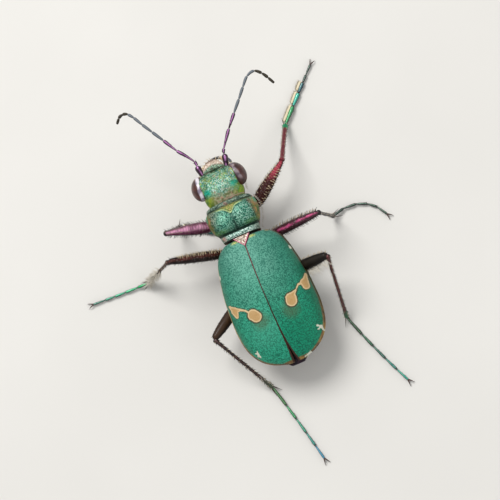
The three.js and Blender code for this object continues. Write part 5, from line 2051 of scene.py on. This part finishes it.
soles = {                       # pads under the fore feet: towards which turn, and the hairs on them
    "turn": -6,
    "shift": 0.16,
    "girth": profile([(0, 0.08), (0.3, 0.11), (0.8, 0.115), (1, 0.09)]),
    "parts": 3,
    "hairs": (170, 0.15, 0.4, 0.03, 0.97),      # on each: how many, reach, slant, from and to
    "spread": 55,               # of the hairs' turns to both sides
}
creamTones = {"metallic": 0.0, "roughness": 0.6, "coat": 0.0}
# pads: darker flank as painted shade, paler crown as painted highlight
soleCream = limbFinish("soleCream", "#a08c6c", "#c8b894", "#dccfae", **creamTones)


def makeSoles(name, joints, cell):
    turn = math.radians(soles["turn"])
    pads = []
    for start, end in zip(joints, joints[1:soles["parts"] + 1]):
        left = unit(np.cross(upwards, end - start))
        shift = (left * math.cos(turn) + upwards * math.sin(turn)) * soles["shift"]
        first, last = start + (end - start) * 0.12 + shift * (1, 1, 1.2), end + (end - start) * 0.04 + shift
        pads.append(limbRoute(bowed(first, last, 0), soles["girth"], 24, ends=0.9))
    dress(makeLimbs(name + "_soles", pads, soleCream, 16), "tarsus")
    low, high = [soles["turn"] + s * soles["spread"] for s in (-1, 1)]
    for pad in pads:
        scatteredHairs(longCoat, pad, cell, *soles["hairs"], low, high)


def makeLeg(name):
    kind = name.split("_")[0]
    leg, look = legs[kind], legLooks[name]
    inner, outer, knee, ankle, joints, shares = legPlaces(name)
    femurWay, tibiaWay = unit(knee - outer), unit(ankle - knee)
    start = outer + femurWay * legForm["femurFrom"]
    points = [outer + femurWay * place for place in legForm["trochanter"]]
    coxa = limbRoute(bowed(inner, outer, 0.0), legForm["coxaGirth"], 40, ends=0.7)
    trochanter = limbRoute(points, legForm["trochanterGirth"], 26, ends=0.8)
    femur = limbRoute(bowed(start, knee, legForm["femurBow"]), leg["femurGirth"], 90, ends=0.8)
    start = knee - tibiaWay * legForm["tibiaFrom"]
    tibia = limbRoute(bowed(start, ankle, legForm["tibiaBow"]), leg["tibiaGirth"], 100, ends=0.7)
    foot = []
    for i, (inside, outside) in enumerate(leg["tarsusGirths"]):
        rule = profile([(0, inside * 0.8), (0.15, inside), (0.8, outside), (1, outside * 0.85)])
        points = bowed(joints[i], joints[i + 1], legForm["footBow"])
        foot.append(limbRoute(points, rule, 26, shares[i], shares[i + 1], 0.6))

    # hips: dark flank as painted shade, pale crown as painted highlight
    hip = limbFinish(name + "_hip", "#1c0f10", "#4a2828", "#8a4c4e")
    femurFinish = limbFinish(name + "_femurMetal", *look["femur"], **look["femurTones"])
    tibiaFinish = limbFinish(name + "_tibiaMetal", *look["tibia"], **look["tibiaTones"])
    tarsusFinish = footFinish(name + "_tarsusMetal", look["tarsus"], shares)
    dress(makeLimbs(name + "_hip", [coxa, trochanter], hip, 28), "underside", name + "_coxa")
    dress(makeLimbs(name + "_thigh", [femur], femurFinish, 28), "femur", name + "_femur")
    dress(makeLimbs(name + "_shin", [tibia], tibiaFinish, 20), "tibia", name + "_tibia")
    dress(makeLimbs(name + "_foot", foot, tarsusFinish, 16), "tarsus", name + "_tarsus")

    parts = {"femur": [femur], "tibia": [tibia], "tarsus": foot}
    cells = {part: newIsland() for part in parts}
    rows = {**hairRows, "femur": ownRows[name]}
    for part, limbs in parts.items():
        for limb in limbs:
            for coat, turns, *row in rows[part]:
                for turn in turns:
                    bristleRow(coats[coat], limb, cells[part], turn, *row)
    scatteredHairs(longCoat, tibia, cells["tibia"], *tufts[name])
    if kind == "fore":
        makeSoles(name, joints, newIsland())
    return spurRoutes(knee, ankle), clawRoutes(joints[-1], joints[-2], leg["claw"])


spurs, claws = [], []
for name in legPoses:
    legSpurs, legClaws = makeLeg(name)
    spurs += legSpurs
    claws += legClaws
hookTones = {"metallic": 0.1, "roughness": 0.3, "speckle": 0.0}
# hooks: darkest flank as painted shade, lighter crown as painted highlight
hook = limbFinish("darkHooks", "#0a0606", "#1c100e", "#44281e", **hookTones)
dress(makeLimbs("spurs", spurs, hook, 12), "tibia")
dress(makeLimbs("claws", claws, hook, 12), "tarsus")
print("legs ready")


# Setae on the sides of the head and trunk: ring, from and to, height, how many, reach, slant
fringes = [
    (headRing, -4.3, -3.0, -0.4, 50, 0.24, 0.7),
    (prothoraxRing, -2.36, -0.3, -0.4, 90, 0.16, 0.6),
    (thoraxRing, 0.1, 3.4, -0.6, 170, 0.3, 0.7),
    (abdomenRing, 3.6, 7.4, -0.7, 120, 0.26, 0.9),
]
fringeTurns = {1: (180, 250), -1: (-70, 0)}     # for each side
lipEdge = {
    "points": [
        (-0.5, -5.06, 0.1), (-0.26, -5.27, 0.04), (0, -5.33, 0.02), (0.26, -5.27, 0.04), (0.5, -5.06, 0.1),
    ],
    "row": (180, 0.16, 0.26, 0.25, 0.06, 0.96),     # turn, spacing, reach, slant, from and to
}


def thinLimb(line):             # a line of body points that hairs can stand on
    return fromBody(line), np.full(len(line), 0.01)


def makeFringe(ringAt, start, end, height, count, reach, slant):
    for side, turns in fringeTurns.items():
        line = []
        for y in np.linspace(start, end, 30):
            ring = ringAt(y)
            ring = ring[ring[:, 0] * side > 0]
            line.append(ring[np.argmin(abs(ring[:, 2] - height))])
        scatteredHairs(longCoat, thinLimb(leaned(line)), newIsland(), count, reach, slant, 0.01, 0.99, *turns)


for fringe in fringes:
    makeFringe(*fringe)
bristleRow(paleCoat, thinLimb(curveThrough(lipEdge["points"], 8)), newIsland(), *lipEdge["row"])
for parts in antennaRoutes.values():
    cell = newIsland()
    for part in parts[:antennae["lower"]]:
        scatteredHairs(darkCoat, part, cell, *antennae["hairs"])
print("setae placed")


def hairFinish(name, root, tip):
    bench = newFinish(name)
    tone = bench.here().noise(0.5 * mm, 2.0)
    colour = tone.mix(root, tip)
    return finishWith(bench, {"Base Color": colour, "Roughness": 0.35, "Specular IOR Level": 0.6})


hairForm = {"Sides": 4, "Lengths": 3, "Slimness": 0.14, "Bend": 0.22, "Patch size": 0.003}
darkCoat.grow(hairFinish("darkBristle", "#0e0806", "#2a1810"), hairForm)
paleCoat.grow(hairFinish("paleBristle", "#a08862", "#d8c8a8"), hairForm)
longCoat.grow(hairFinish("longHair", "#a09684", "#e2dccf"), {**hairForm, "Slimness": 0.06})
print("coats grown:", ", ".join(f"{len(c.hairs['root'])} {name}" for name, c in coats.items()))


print("beetle dressed")
